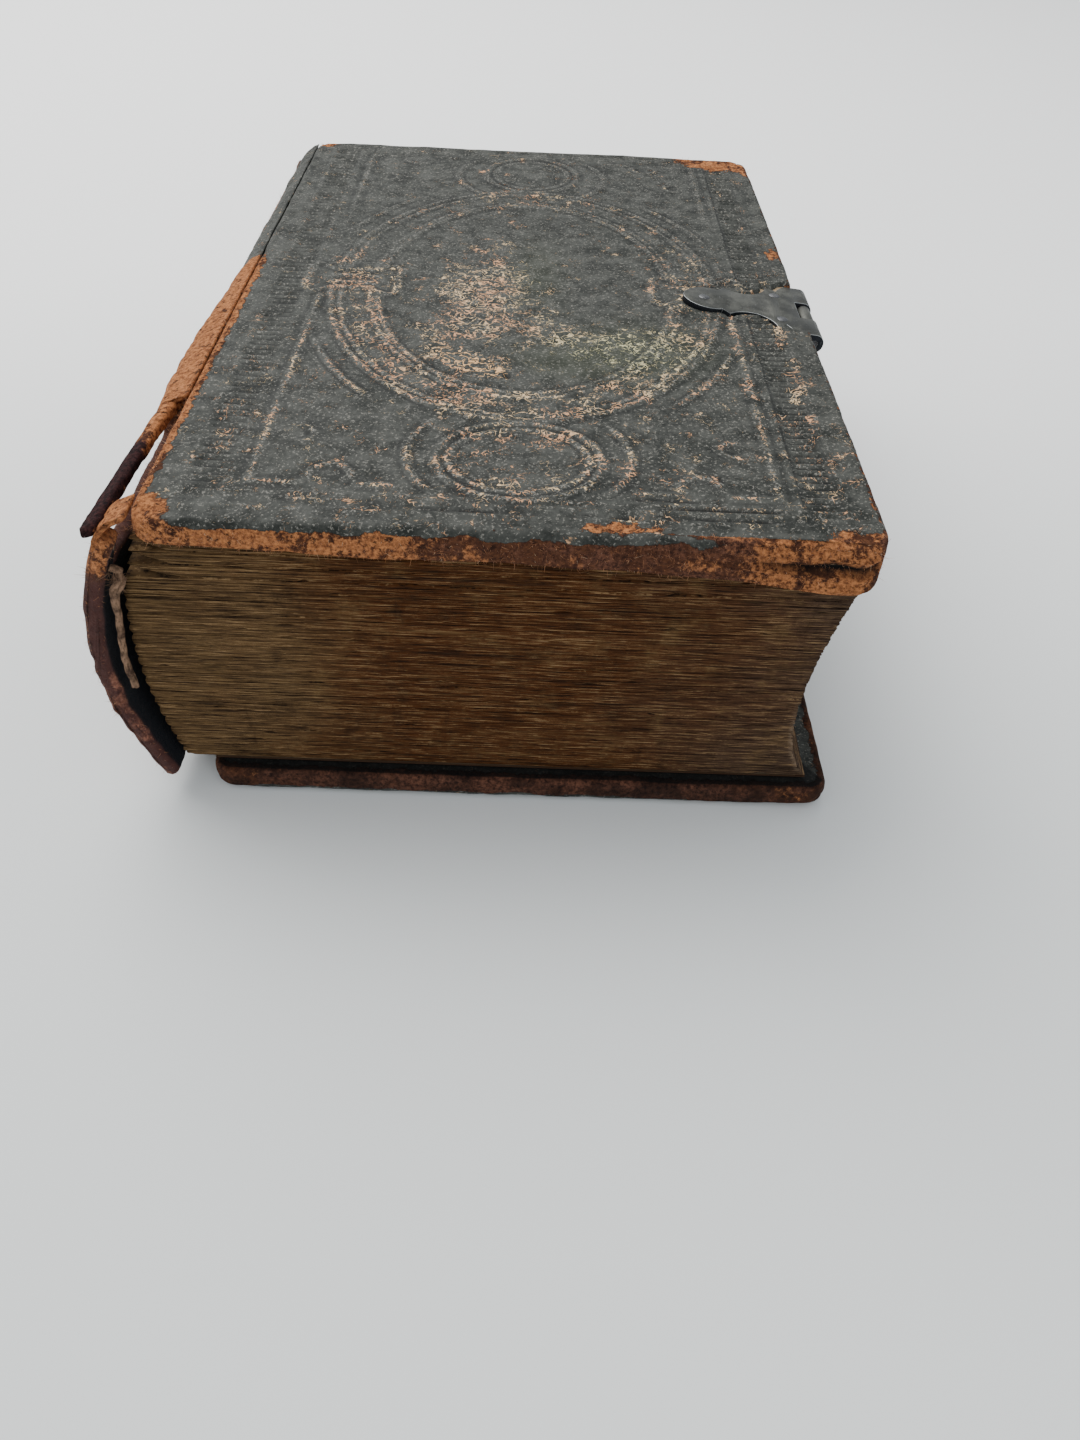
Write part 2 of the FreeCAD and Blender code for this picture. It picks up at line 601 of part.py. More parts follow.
# ---------------------------------------------------------------- whole book
os.makedirs("parts", exist_ok=True)
make_gatherings()
make_flyleaves()
make_back()
make_endbands()
make_spine()
make_cover("upper", (UPPER_SPINE_X, UPPER_FORE_X), True)
make_cover("lower", (LOWER_SPINE_X, LOWER_FORE_X), False)
make_clasp()

latched_angle, loose_angle = hasp_angles()
print("height", HEIGHT, "upper hinge", UPPER_SPINE_X, HEIGHT, "lower hinge", LOWER_SPINE_X, 0)
print("hasp pin", barrel_axis(True), "catch bar", barrel_axis(False))
print("hasp degrees back to latched", math.degrees(loose_angle - latched_angle))
for number in range(1, TURNING + 1):
    edge = TEXT_TOP - (number - 1) * GATHERING
    print("gathering", number, "turns about", fold_line(edge), edge)
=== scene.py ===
# %% [markdown]
# # A worn leather prayer book
# This lesson dresses a book that is already built as a set of solids. The solids come in first, as a
# fixed frame: two covers, a block of gatherings, a curved spine cover and a clasp. Each new surface is
# worked out with numpy in the same coordinates and is then told which solid it moves with.

import bmesh
import bpy
import numpy as np
from mathutils import Matrix, Vector


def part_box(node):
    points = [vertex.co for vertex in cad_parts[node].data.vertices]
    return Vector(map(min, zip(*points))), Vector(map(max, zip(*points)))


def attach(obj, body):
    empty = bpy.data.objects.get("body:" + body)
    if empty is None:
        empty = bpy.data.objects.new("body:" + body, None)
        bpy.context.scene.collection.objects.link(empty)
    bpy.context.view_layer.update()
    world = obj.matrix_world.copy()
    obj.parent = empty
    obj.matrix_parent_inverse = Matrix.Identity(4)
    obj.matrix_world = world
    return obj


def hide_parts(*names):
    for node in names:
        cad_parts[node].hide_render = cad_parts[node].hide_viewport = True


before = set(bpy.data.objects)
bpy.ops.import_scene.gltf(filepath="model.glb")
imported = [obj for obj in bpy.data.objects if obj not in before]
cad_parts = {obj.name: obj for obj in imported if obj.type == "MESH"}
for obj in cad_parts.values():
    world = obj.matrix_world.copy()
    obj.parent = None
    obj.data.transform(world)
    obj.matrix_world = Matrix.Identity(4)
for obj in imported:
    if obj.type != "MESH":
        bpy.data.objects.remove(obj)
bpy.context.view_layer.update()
print("solids:", len(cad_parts))

# %% [markdown]
# ## Millimetres and levels
# A book is easier to think about in millimetres, so every shape below is worked out in them and is
# divided by a thousand as it becomes a mesh. The levels are read from the solids' boxes.

# %% Read the levels
MM = 1000.0


def span(node):
    """Lowest and highest corner of a solid, in millimetres."""
    low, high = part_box(node)
    return np.array(low) * MM, np.array(high) * MM


UPPER_LOW, UPPER_HIGH = span("upper_leather")
LOWER_LOW, LOWER_HIGH = span("lower_leather")
WIDTH = UPPER_HIGH[0] - UPPER_LOW[0]
LENGTH = UPPER_HIGH[1] - UPPER_LOW[1]
THICK = LOWER_HIGH[2] - LOWER_LOW[2]
TOP = UPPER_HIGH[2]
HINGE = np.array([UPPER_LOW[0], TOP])
print(f"cover {WIDTH:.1f} x {LENGTH:.1f} x {THICK:.1f} mm, book {TOP:.1f} mm thick")

# %% [markdown]
# ## Noise on a lattice
# Old leather, paper and board are never even. A lattice of random numbers, joined by smooth ramps,
# gives a soft uneven height for any array of places at once. Adding it to itself at half the size and
# half the strength gives the cloudy look of natural surfaces. A fixed seed gives the same book each run.

# %% Smooth and cloudy noise
LATTICE = 97


def soft_noise(x, y, cell, seed):
    """Random numbers at the corners of square cells, joined by ramps of 3t^2 - 2t^3: from 0 to 1."""
    table = np.random.default_rng(seed).random((LATTICE, LATTICE))
    gx, gy = np.asarray(x, float) / cell, np.asarray(y, float) / cell
    ix, iy = np.floor(gx).astype(int), np.floor(gy).astype(int)
    fx, fy = gx - ix, gy - iy
    fx, fy = fx * fx * (3 - 2 * fx), fy * fy * (3 - 2 * fy)
    ix, iy, jx, jy = (n % LATTICE for n in (ix, iy, ix + 1, iy + 1))
    near = table[ix, iy] * (1 - fx) + table[jx, iy] * fx
    far = table[ix, jy] * (1 - fx) + table[jx, jy] * fx
    return near * (1 - fy) + far * fy


def cloud(x, y, cell, seed, layers=4):
    """Soft noise at cell, plus half of it at half the cell, and so on, scaled back to 0 to 1."""
    total, weight = 0.0, 0.0
    for k in range(layers):
        total = total + soft_noise(x, y, cell / 2**k, seed + 31 * k) / 2**k
        weight += 1 / 2**k
    return total / weight


def uneven(x, y, cell, seed, layers=4):
    """Cloudy noise around zero, from -0.5 to 0.5."""
    return cloud(x, y, cell, seed, layers) - 0.5


def meander(x, cell, seed, layers=4):
    """Cloudy noise around zero along a line."""
    return uneven(x, 0 * x, cell, seed, layers)


def ramp(x, low, high):
    """0 below low, 1 above high, and 3t^2 - 2t^3 between them."""
    t = np.clip((np.asarray(x, float) - low) / (high - low), 0, 1)
    return t * t * (3 - 2 * t)


print("cloud at one place:", round(float(cloud(12.0, 30.0, 8.0, 1)), 3))

# %% [markdown]
# ## From arrays to meshes
# A grid of points becomes a mesh when each square of four neighbours becomes a face. A grid can be
# closed into a ring in one direction. The points go into Blender in one call each, which is quick for
# a hundred thousand of them. Numbers kept at each point, such as how worn it is, go in as attributes
# that a material can read.

# %% Mesh helpers
def squares(rows, columns, ring=False):
    """Corner numbers of the squares of a grid; a ring joins its last column to its first."""
    r, c = np.arange(rows - 1)[:, None], np.arange(columns if ring else columns - 1)[None, :]
    after = (c + 1) % columns
    below, above = r * columns, (r + 1) * columns
    return np.stack([below + c, below + after, above + after, above + c], -1).reshape(-1, 4)


def end_lids(rows, columns):
    """Corner numbers of the first ring backwards and of the last ring forwards, so both face outwards."""
    ring = np.arange(columns)
    return [ring[::-1], (rows - 1) * columns + ring]


def make_piece(name, points, quads, finish, lids=(), marks=None, smooth=True):
    """Mesh from points in millimetres, square faces and many-sided lids, with its faces outwards."""
    points = np.asarray(points, float).reshape(-1, 3)
    loops = [np.asarray(quads).reshape(-1)] + [np.asarray(lid).reshape(-1) for lid in lids]
    sizes = np.array([4] * (len(loops[0]) // 4) + [len(lid) for lid in loops[1:]])
    corners = np.concatenate(loops).astype(np.int32)
    starts = np.concatenate([[0], np.cumsum(sizes)[:-1]]).astype(np.int32)
    mesh = bpy.data.meshes.new(name)
    mesh.vertices.add(len(points))
    mesh.vertices.foreach_set("co", (points / MM).astype(np.float32).ravel())
    mesh.loops.add(len(corners))
    mesh.loops.foreach_set("vertex_index", corners)
    mesh.polygons.add(len(sizes))
    mesh.polygons.foreach_set("loop_start", starts)
    mesh.update(calc_edges=True)
    mesh.polygons.foreach_set("use_smooth", np.full(len(sizes), smooth))
    work = bmesh.new()
    work.from_mesh(mesh)
    inside_out = work.calc_volume(signed=True) < 0
    work.free()
    if inside_out:
        mesh.flip_normals()
    for mark, values in (marks or {}).items():
        layer = mesh.attributes.new(mark, "FLOAT", "POINT")
        layer.data.foreach_set("value", np.asarray(values, np.float32).ravel())
    mesh.validate()
    mesh.update()
    mesh.materials.append(finish)
    piece = bpy.data.objects.new(name, mesh)
    bpy.context.scene.collection.objects.link(piece)
    print(name, len(points), "points")
    return piece


def make_tube(name, points, finish, marks=None):
    """Closed tube: each row of points is a ring, and a lid shuts it at either end."""
    rows, columns = points.shape[:2]
    walls, lids = squares(rows, columns, ring=True), end_lids(rows, columns)
    return make_piece(name, points, walls, finish, lids, marks)


def settle(piece, body, stands_for=()):
    """Ties a piece to its body and the solids that it stands for."""
    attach(piece, body)
    if stands_for:
        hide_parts(*stands_for)
    return piece

# %% [markdown]
# ## Building materials from nodes
# Every finish here is a small graph of nodes. Writing each node out in full would hide the idea, so
# a short helper adds a node, sets its sockets and joins its inputs. Patterns read Object coordinates,
# in metres, so a pattern of half a millimetre needs a scale of two thousand.

# %% Node helpers
class Recipe:
    """A material under construction: add nodes, then hand colour, roughness and height to the shader."""

    def __init__(self, name, roughness, specular, metal=0.0, sheen=0.0):
        self.material = bpy.data.materials.new(name)
        self.material.use_nodes = True
        self.nodes, self.links = self.material.node_tree.nodes, self.material.node_tree.links
        self.shader = self.nodes["Principled BSDF"]
        self.shader.inputs["Roughness"].default_value = roughness
        self.shader.inputs["Metallic"].default_value = metal
        self.shader.inputs["Specular IOR Level"].default_value = specular
        self.shader.inputs["Sheen Weight"].default_value = sheen
        self.place = self.add("ShaderNodeTexCoord").outputs["Object"]

    def add(self, kind, inputs=None, **settings):
        node = self.nodes.new(kind)
        for key, value in settings.items():
            setattr(node, key, value)
        for key, value in (inputs or {}).items():
            self.join(value, node.inputs[key])
        return node

    def join(self, value, socket):
        if isinstance(value, bpy.types.NodeSocket):
            self.links.new(value, socket)
        else:
            socket.default_value = value

    def stretch(self, x, y, z):
        """Object coordinates scaled along each axis."""
        return self.add("ShaderNodeMapping", {"Vector": self.place, "Scale": (x, y, z)}).outputs["Vector"]

    def noise(self, scale, detail=3.0, where=None, rough=0.55, warp=0.0):
        settings = {"Scale": scale, "Detail": detail, "Roughness": rough, "Distortion": warp}
        return self.add("ShaderNodeTexNoise", {"Vector": where or self.place, **settings}).outputs["Fac"]

    def cells(self, scale):
        return self.add("ShaderNodeTexVoronoi", {"Vector": self.place, "Scale": scale}).outputs["Distance"]

    def mark(self, name):
        return self.add("ShaderNodeAttribute", attribute_name=name).outputs["Fac"]

    def sums(self, operation, a, b=0.5, c=0.5):
        return self.add("ShaderNodeMath", {0: a, 1: b, 2: c}, operation=operation).outputs[0]

    def plus(self, a, b):
        return self.sums("ADD", a, b)

    def less(self, a, b):
        return self.sums("SUBTRACT", a, b)

    def times(self, a, b):
        return self.sums("MULTIPLY", a, b)

    def swing(self, value, amount):
        """Noise around a half made noise around zero, times amount."""
        return self.times(self.less(value, 0.5), amount)

    def spread(self, value, low, high, to_low=0.0, to_high=1.0):
        """Smooth step from to_low to to_high as value goes from low to high."""
        limits = {"From Min": low, "From Max": high, "To Min": to_low, "To Max": to_high}
        node = self.add("ShaderNodeMapRange", {"Value": value, **limits}, interpolation_type="SMOOTHSTEP")
        return node.outputs["Result"]

    def blend(self, share, a, b):
        """Colour a where share is 0 and b where it is 1."""
        node = self.add("ShaderNodeMix", data_type="RGBA")
        self.join(share, node.inputs["Factor"])
        for key, colour in (("A", a), ("B", b)):
            socket = [s for s in node.inputs if s.name == key and s.type == "RGBA"][0]
            self.join(colour if isinstance(colour, bpy.types.NodeSocket) else (*colour, 1.0), socket)
        return [s for s in node.outputs if s.type == "RGBA"][0]

    def over(self, tone, colour, value, low, high, share=1.0):
        """Tone with colour laid over it: none of it at low, and share of it at high."""
        return self.blend(self.spread(value, low, high, 0.0, share), tone, colour)

    def raise_by(self, height, depth):
        """Bump of the given depth in millimetres."""
        node = self.add("ShaderNodeBump", {"Height": height, "Distance": depth / MM, "Strength": 1.0})
        if self.shader.inputs["Normal"].links:
            self.join(self.shader.inputs["Normal"].links[0].from_socket, node.inputs["Normal"])
        self.join(node.outputs["Normal"], self.shader.inputs["Normal"])

    def colour(self, socket, roughness=None):
        self.join(socket, self.shader.inputs["Base Color"])
        if roughness is not None:
            self.join(roughness, self.shader.inputs["Roughness"])
        return self.material


print("recipe helpers ready")

# %% [markdown]
# ## Rubbed leather
# Where the dyed top of the leather is gone, the fibres under it show: bright orange-tan, matt and fuzzy
# like suede, with dark brown blotches where dirt and handling have sealed it. The same nodes give the
# colour for the cover's rubbed edges, the spine cover, the joint and the torn strip. Two noises of
# different size decide the blotches, and long fine noise gives the nap.

# %% Rubbed leather colour
BRIGHT_TAN = (0.56, 0.225, 0.085)
DEEP_TAN = (0.150, 0.050, 0.021)
SEALED_BROWN = (0.040, 0.015, 0.010)
HOLLOW_BROWN = (0.022, 0.009, 0.006)
NAP_SCALE = 1250


def rubbed_colour(recipe, sealed=0.3, grime=None):
    """Tan fibres with fine dark hollows, under dark blotches; sealed is about the blotches' share."""
    nap = recipe.noise(NAP_SCALE, 6, rough=0.78)
    tan = recipe.over(DEEP_TAN, BRIGHT_TAN, nap, 0.36, 0.63)
    hollows = recipe.spread(recipe.noise(820, 3, rough=0.6), 0.43, 0.33, 0.0, 0.85)
    slow = recipe.plus(recipe.noise(120, 6, rough=0.68, warp=0.3), recipe.swing(nap, 0.5))
    if grime is not None:
        slow = recipe.less(slow, recipe.times(grime, 0.30))
    level = 0.38 + 0.24 * sealed
    blotches = recipe.spread(slow, level + 0.05, level - 0.05, 0.0, 0.85)
    return recipe.blend(hollows, recipe.blend(blotches, tan, SEALED_BROWN), HOLLOW_BROWN), nap


print("rubbed leather runs from", DEEP_TAN, "to", BRIGHT_TAN)

# %% [markdown]
# ## Cover leather
# The covers are dark grey-green leather. Its grain is fine, and the handled parts have lost their dye in
# a crackle of tan worms and flecks. How worn a place is comes from marks on the mesh, and this graph
# turns each mark into colour. A worm is a thin band where a warped noise is near its middle value: where
# the wear is low the band is too thin to show, and where it is high the bands join. A green mark below
# zero means amber. The rim is wholly rubbed, and cracks are near black. Grooves beside the pressed lines
# get painted shade, and the lower cover's copy of this finish paints shade over its bare fibres.

# %% Cover leather finish
LEATHER_MARKS = ("wear", "rub", "crack", "green", "ridge", "grime")
NEAR_BLACK = (0.006, 0.006, 0.006)


def leather_marks(like, **given):
    """All marks that the cover leather reads, in the shape of an array; those not given are 0."""
    return {mark: given.get(mark, 0.0) + 0 * like for mark in LEATHER_MARKS}


def cover_finish(name, sealed=0.2, painted_shade=0.0):
    """Grey-green dye, tan worms where wear is high, bare fibres where rub is high; painted_shade darkens the
    bare fibres in patches as painted shade.
    """
    r = Recipe(name, roughness=0.68, specular=0.15)
    wear, rub, crack, green, ridge, grime = (r.mark(mark) for mark in LEATHER_MARKS)
    dye = r.over((0.016, 0.018, 0.0155), (0.062, 0.064, 0.057), r.noise(230, 6, rough=0.74), 0.34, 0.66)
    dye = r.over(dye, (0.055, 0.066, 0.034), green, 0.0, 1.0, 0.30)
    # painted shade: grooves beside the pressed lines, where ridge is below zero, are darkened towards near
    # black
    dye = r.over(dye, (0.006, 0.007, 0.007), ridge, -0.02, -0.50, 0.65)
    fine = r.plus(r.noise(2100, 3, rough=0.75), r.plus(r.times(ridge, 0.055), r.times(wear, 0.02)))
    dye = r.over(dye, (0.31, 0.295, 0.26), fine, 0.56, 0.66, 0.55)
    worms = r.sums("ABSOLUTE", r.less(r.noise(640, 2, rough=0.45, warp=0.8), 0.5))
    islands = r.noise(300, 5, rough=0.66)
    local = r.plus(wear, r.swing(islands, 2.1))
    room = r.sums("MINIMUM", r.times(r.less(local, 0.27), 0.080), 0.036)
    shows = r.spread(r.less(room, worms), -0.003, 0.009)
    tan = r.over((0.72, 0.38, 0.20), (0.74, 0.55, 0.32), r.noise(120, 4), 0.42, 0.60)
    tan = r.over(tan, (0.56, 0.54, 0.31), green, 0.0, 1.0)
    tan = r.over(tan, (0.90, 0.54, 0.25), green, 0.0, -0.7)
    tan = r.over(tan, (0.26, 0.16, 0.10), r.noise(1900, 3), 0.35, 0.75, 0.5)
    tone = r.blend(r.times(shows, 0.92), dye, tan)
    bare, nap = rubbed_colour(r, sealed, grime)
    # dust_and_shade: dust on the upper cover, and painted shade on the lower cover, whose mark is high
    dust_and_shade_tone = r.over((0.020, 0.009, 0.007), (0.185, 0.078, 0.048), nap, 0.36, 0.63)
    dust_and_shade = r.plus(grime, r.swing(r.noise(330, 6, rough=0.7), 1.6))
    bare = r.over(bare, dust_and_shade_tone, dust_and_shade, 0.25, 0.75, 0.85)
    # painted shade: the lower cover's copy of this finish darkens its bare fibres in patches
    shade_field = r.plus(painted_shade, r.swing(r.noise(150, 6, rough=0.7), 1.8))
    shade_mix = r.times(r.spread(shade_field, 0.25, 0.70), min(1.0, painted_shade * 1.5))
    bare = r.blend(shade_mix, bare, (0.012, 0.007, 0.006))
    ragged = r.spread(r.plus(rub, r.swing(r.noise(520, 6, rough=0.72), 1.3)), 0.44, 0.54)
    tone = r.blend(crack, r.blend(ragged, tone, bare), NEAR_BLACK)
    r.raise_by(r.cells(1300), 0.10)
    r.raise_by(r.times(nap, ragged), 0.50)
    r.raise_by(r.times(shows, -1.0), 0.10)
    roughness = r.plus(r.times(ragged, 0.3), r.spread(islands, 0.3, 0.7, 0.60, 0.74))
    return r.colour(tone, roughness)


COVER_LEATHER = cover_finish("cover_leather_finish")
print("made", COVER_LEATHER.name)

# %% [markdown]
# ## Lines pressed into the cover
# A binder presses a heated block into damp leather, so the pattern is lines and ridges a few tenths of a
# millimetre high. Each line here is a distance: how far a place is from an oval, a straight line or an
# outline. A narrow bell of that distance gives the ridge. The wear marks use the same distances, because
# ridges are what a hand rubs first. The grooves beside the lines are marked too, and get painted shade.

# %% Distances to ovals and lines
def bell(distance, width):
    """exp(-(distance / width)^2): 1 on the line and near 0 at twice the width."""
    return np.exp(-(distance / width) ** 2)


def oval(u, v, centre, half):
    """Signed distance to an oval: its equation's value, divided by how fast that value changes."""
    x, y = (u - centre[0]) / half[0], (v - centre[1]) / half[1]
    f = np.sqrt(x * x + y * y) + 1e-6
    slope = np.sqrt((x / half[0]) ** 2 + (y / half[1]) ** 2) / f
    return (f - 1) / (slope + 1e-6)


def between(x, low, high, soft=1.0):
    """1 between low and high, with soft ends."""
    return ramp(x, low - soft, low + soft) * (1 - ramp(x, high - soft, high + soft))


def spool(u, v, centre):
    """Signed distance to a lying spool: a bar that is taller at both ends than in the middle."""
    x, y = np.abs(u - centre[0]), np.abs(v - centre[1])
    return np.maximum(x - 9.2, y - (4.3 + 2.6 * ramp(x, 3.0, 8.0) - 1.6 * ramp(x, 7.5, 9.5)))


print("a 38 mm oval, 40 mm out:", round(float(oval(40.0, 0.0, (0, 0), (38, 54))), 2), "mm away")

# %% [markdown]
# ## The whole pattern
# Places on a cover are u from the spine edge and v from the tail edge. Mirroring v at the middle would
# make both ends alike, so the small ovals at head and tail are given apart. The function returns the
# pressed height and how strongly a hand has rubbed each line.

# %% Pressed pattern
CENTRE = np.array([55.0, 85.5])
RUNG_PITCH = 1.95


def pressed(u, v):
    """Height in millimetres, share of line and the sunk grooves that get painted shade, at each place: sums
    of bells round every outline.
    """
    mirrored = np.where(u > CENTRE[0], 2 * CENTRE[0] - u, u)
    outer = oval(u, v, CENTRE, (38.0, 54.0))
    inner = oval(u, v, CENTRE, (29.0, 44.5))
    tail = oval(u, v, (55.3, 19.6), (13.0, 11.2))
    head = oval(u, v, (55.0, 152.0), (11.0, 12.0))
    free = ramp(np.minimum(tail, head), 0.0, 2.0)
    cart = spool(mirrored, v, (20.6, 85.7))
    clear = free * ramp(cart, 0.0, 1.2)
    stipple = uneven(u, v, 1.1, 5, 2) * ramp(outer, -0.3, -1.2) * ramp(inner, 0.3, 1.2)
    lines = [(bell(outer, 0.55) * clear, 0.30), (bell(outer + 1.7, 0.40) * clear, 0.16),
             (bell(inner, 0.50) * clear, 0.26), (bell(inner - 1.5, 0.35) * clear, 0.12),
             (bell(tail, 0.55), 0.28), (bell(tail + 2.0, 0.4), 0.14), (bell(head, 0.55), 0.26),
             (bell(head + 2.2, 0.4), 0.12), (bell(cart, 0.6), 0.34),
             (bell(np.abs(v - 85.7) - 1.6, 0.5) * between(mirrored, 16, 25.5), 0.16)]
    further = oval(u, v, CENTRE, (42.5, 59.5))
    lines.append((bell(further, 0.45) * between(np.abs(v - CENTRE[1]), 27, 47, 2.0), 0.22))
    for across, middle, reach in ((55.3, 21.0, 11.0), (55.0, 150.5, 13.0)):
        bracket = bell(oval(u, v, (across, middle), (17.6, 16.5)), 0.5)
        room = between(v, middle - reach, middle + reach * 0.85, 1.5) * ramp(outer, -1.0, 1.5)
        lines.append((bracket * room, 0.26))
    frame_line = bell(mirrored - 15.2, 0.45) * between(v, 11, 163) * ramp(np.abs(v - 85.7), 7.0, 9.0)
    frame_line = frame_line * (1 - 0.75 * between(v, 92, 128, 8))
    ends = bell(v - 11.0, 0.45) + bell(v - 162.3, 0.45)
    ends = ends * between(mirrored, 15, 37, 0.8) * ramp(np.abs(mirrored - 27.0), 3.4, 4.6)
    curls = 0.0
    for arch, hook, way in ((13.2, 25.0, 1), (160.2, 147.0, -1)):
        half_ring = bell(np.hypot(mirrored - 27.0, v - arch) - 3.2, 0.45) * ramp((v - arch) * way, -1.6, 0.2)
        side_ring = bell(np.hypot(mirrored - 20.6, v - hook) - 2.3, 0.45) * ramp(mirrored - 20.6, -1.8, 0.0)
        curls = curls + (half_ring + side_ring)
    lines += [(frame_line, 0.22), (ends, 0.24), (np.clip(curls, 0, 1), 0.22)]
    rung_room = between(mirrored, 6.6, 11.4, 0.25) * between(v, 6, 165, 1)
    rungs = rung_room * (0.5 + 0.5 * np.cos(2 * np.pi * v / RUNG_PITCH)) ** 0.7
    rails = (bell(mirrored - 5.6, 0.35) + bell(mirrored - 12.4, 0.35)) * between(v, 4, 167)
    fillets = sum(bell(v - at, 0.38) * strength for at, strength in
                  ((4.0, 0.8), (6.6, 0.7), (8.1, 1.0), (165.6, 1.0), (167.2, 0.7), (169.0, 0.6)))
    fillets = fillets * between(mirrored, 4.5, 58)
    height = 1.25 * sum(line * tall for line, tall in lines) - 0.45 * rung_room + 0.60 * rungs
    height = height + 0.22 * rails + 0.22 * fillets + 0.36 * stipple
    share = sum(line for line, _ in lines) + 0.30 * rungs + 0.4 * rails + 0.45 * fillets
    # sunk marks the grooves between the rungs and beside the rails; the cover finish paints shade into them
    sunk = 0.45 * rung_room * (1 - 1.6 * rungs) + 0.5 * bell(rails - 0.35, 0.15) * (rails > 0.05)
    return height, np.clip(share, 0, 1), np.clip(sunk, 0, 1), (outer, inner, tail, cart)


h, s, *_ = pressed(np.array([17.0, 60.0]), np.array([85.5, 120.0]))
print("pressed heights:", h.round(2))

# %% [markdown]
# ## Where hands have worn it
# The wear is heaviest in the middle of the lower half, inside the worn band between the ovals, and on
# raised lines. Each worn patch is a soft blob broken up by cloudy noise, and is given only by its middle,
# its two half sizes, its turn and its strength. A crack is given by its height, its two ends and how far
# it wanders.

# %% Wear marks
def blob(u, v, middle, half, turn=0.0):
    """exp of minus the squared distance, in half sizes, from a turned oval's middle."""
    c, s = np.cos(np.radians(turn)), np.sin(np.radians(turn))
    x, y = u - middle[0], v - middle[1]
    return np.exp(-((x * c + y * s) / half[0]) ** 2 - ((y * c - x * s) / half[1]) ** 2)


PATCHES = (
    ((45.5, 84), (8.5, 14), 8, 0.95), ((50, 97), (5, 12), 20, 0.55), ((46.5, 51.5), (8.5, 3.6), -38, 1.25),
    ((61, 65), (15, 8), -20, 0.50), ((78, 62), (8, 6), 30, 0.42), ((42, 66), (9, 5), 0, 0.45),
    ((50, 124), (3, 7), 15, 0.50), ((54, 135), (9, 5), 0, 0.35),
)
CRACKS = ((4.9, 38, 96, 0.6), (7.6, 78, 97, 0.2), (9.6, 72, 82, 0.3), (6.3, 20, 36, 0.2))


def worn(u, v, share, ovals, strength=1.0):
    """Wear, green or amber tint, cracks and the hole: blobs and line shares, broken up by clouds."""
    outer, inner, tail, cart = ovals
    patchy = cloud(u, v, 9.0, 21, 4)
    low = 1 - ramp(v, 40, 125)
    band = ramp(-outer, -0.5, 1.5) * ramp(inner, -0.5, 1.5)
    wear = 0.09 + 0.08 * low + 0.36 * (patchy - 0.5)
    wear = wear + band * (0.09 + 0.22 * low) + 0.16 * ramp(-tail, 0, 2) * ramp(tail + 10, 0, 3)
    wear = wear + 0.14 * ramp(-cart, -0.5, 0.5) + share * (0.20 + 0.26 * low)
    for middle, half, turn, amount in PATCHES:
        wear = wear + amount * blob(u, v, middle, half, turn) * (0.45 + 0.8 * patchy)
    stripe = bell(u - 103.2 - 1.5 * meander(v, 12, 23, 3), 1.5) * between(v, 14, 78, 5)
    flecks = ramp(cloud(u, v, 4.0, 24, 3), 0.40, 0.60)
    wear = wear + 0.60 * stripe * flecks + 0.45 * bell(u - 94.2, 0.9) * between(v, 45, 80, 5) * flecks
    green = (0.8 * blob(u, v, (76, 60), (15, 12)) + 0.6 * blob(u, v, (57, 92), (7, 20))
             + 0.5 * blob(u, v, (62, 53), (16, 8)) - 1.6 * blob(u, v, (46.5, 51.5), (8.0, 3.0), -38))
    crack = 0.0
    for at, start, end, drift in CRACKS:
        line = at + drift * meander(u, 11, int(at * 10), 3) * 2
        broken = ramp(cloud(u, 0 * u, 5, 77, 2), 0.3, 0.45)
        crack = crack + bell(v - line, 0.20) * between(u, start, end, 2) * broken
    hole = bell(np.hypot(u - 52.6, v - 47.4), 0.75)
    wear, green, crack = (np.clip(m * strength, low, 1) for m, low in ((wear, 0), (green, -1), (crack, 0)))
    return wear, green, crack, hole * strength


middle_wear = worn(np.array([46.0]), np.array([84.0]), 0.0, [np.array([-9.0])] * 4)[0]
print("wear in the middle:", middle_wear.round(2))

# %% [markdown]
# ## One cover as a single skin
# A covered board is a rounded slab. Its outer face is a fine grid, with the grid's corners pulled in to
# quarter circles. From the grid's edge the skin goes on as rings, each a little further out and down:
# round the rim, down the side, round the lower rim and in over the board's inner face, as the turned-in
# leather does. A last flat lid closes it, sunk to make room for the pastedown. The corner at the head of
# the fore-edge is rounder than the others.

# %% Grid, corners and rim
CORNER, HEAD_CORNER = 2.6, 4.0
RIM = 1.1


def edge_loop(nu, nv):
    """Corner numbers round the edge of an nu by nv grid, counter-clockwise."""
    a = np.arange(nu)
    b = np.arange(nv)
    return np.concatenate([a * nv, (nu - 1) * nv + b[1:], a[-2::-1] * nv + nv - 1, b[-2:0:-1]])


def rounded_grid(wide, long, step):
    """Flat grid of a rectangle whose corner squares are mapped to quarter discs: each of a pair (a, b)
    from 0 to 1 is multiplied by the square root of 1 minus half the other's square."""
    u = np.linspace(0, wide, int(wide / step) + 1)
    v = np.linspace(0, long, int(long / step) + 1)
    u, v = np.meshgrid(u, v, indexing="ij")
    for flip_u in (False, True):
        for flip_v in (False, True):
            radius = HEAD_CORNER if flip_u and flip_v else CORNER
            a = np.clip((radius - (wide - u if flip_u else u)) / radius, 0, 1)
            b = np.clip((radius - (long - v if flip_v else v)) / radius, 0, 1)
            inside = (a > 0) & (b > 0)
            na, nb = a * np.sqrt(1 - b * b / 2), b * np.sqrt(1 - a * a / 2)
            from_u, from_v = radius * (1 - na), radius * (1 - nb)
            u = np.where(inside, wide - from_u if flip_u else from_u, u)
            v = np.where(inside, long - from_v if flip_v else from_v, v)
    return u, v


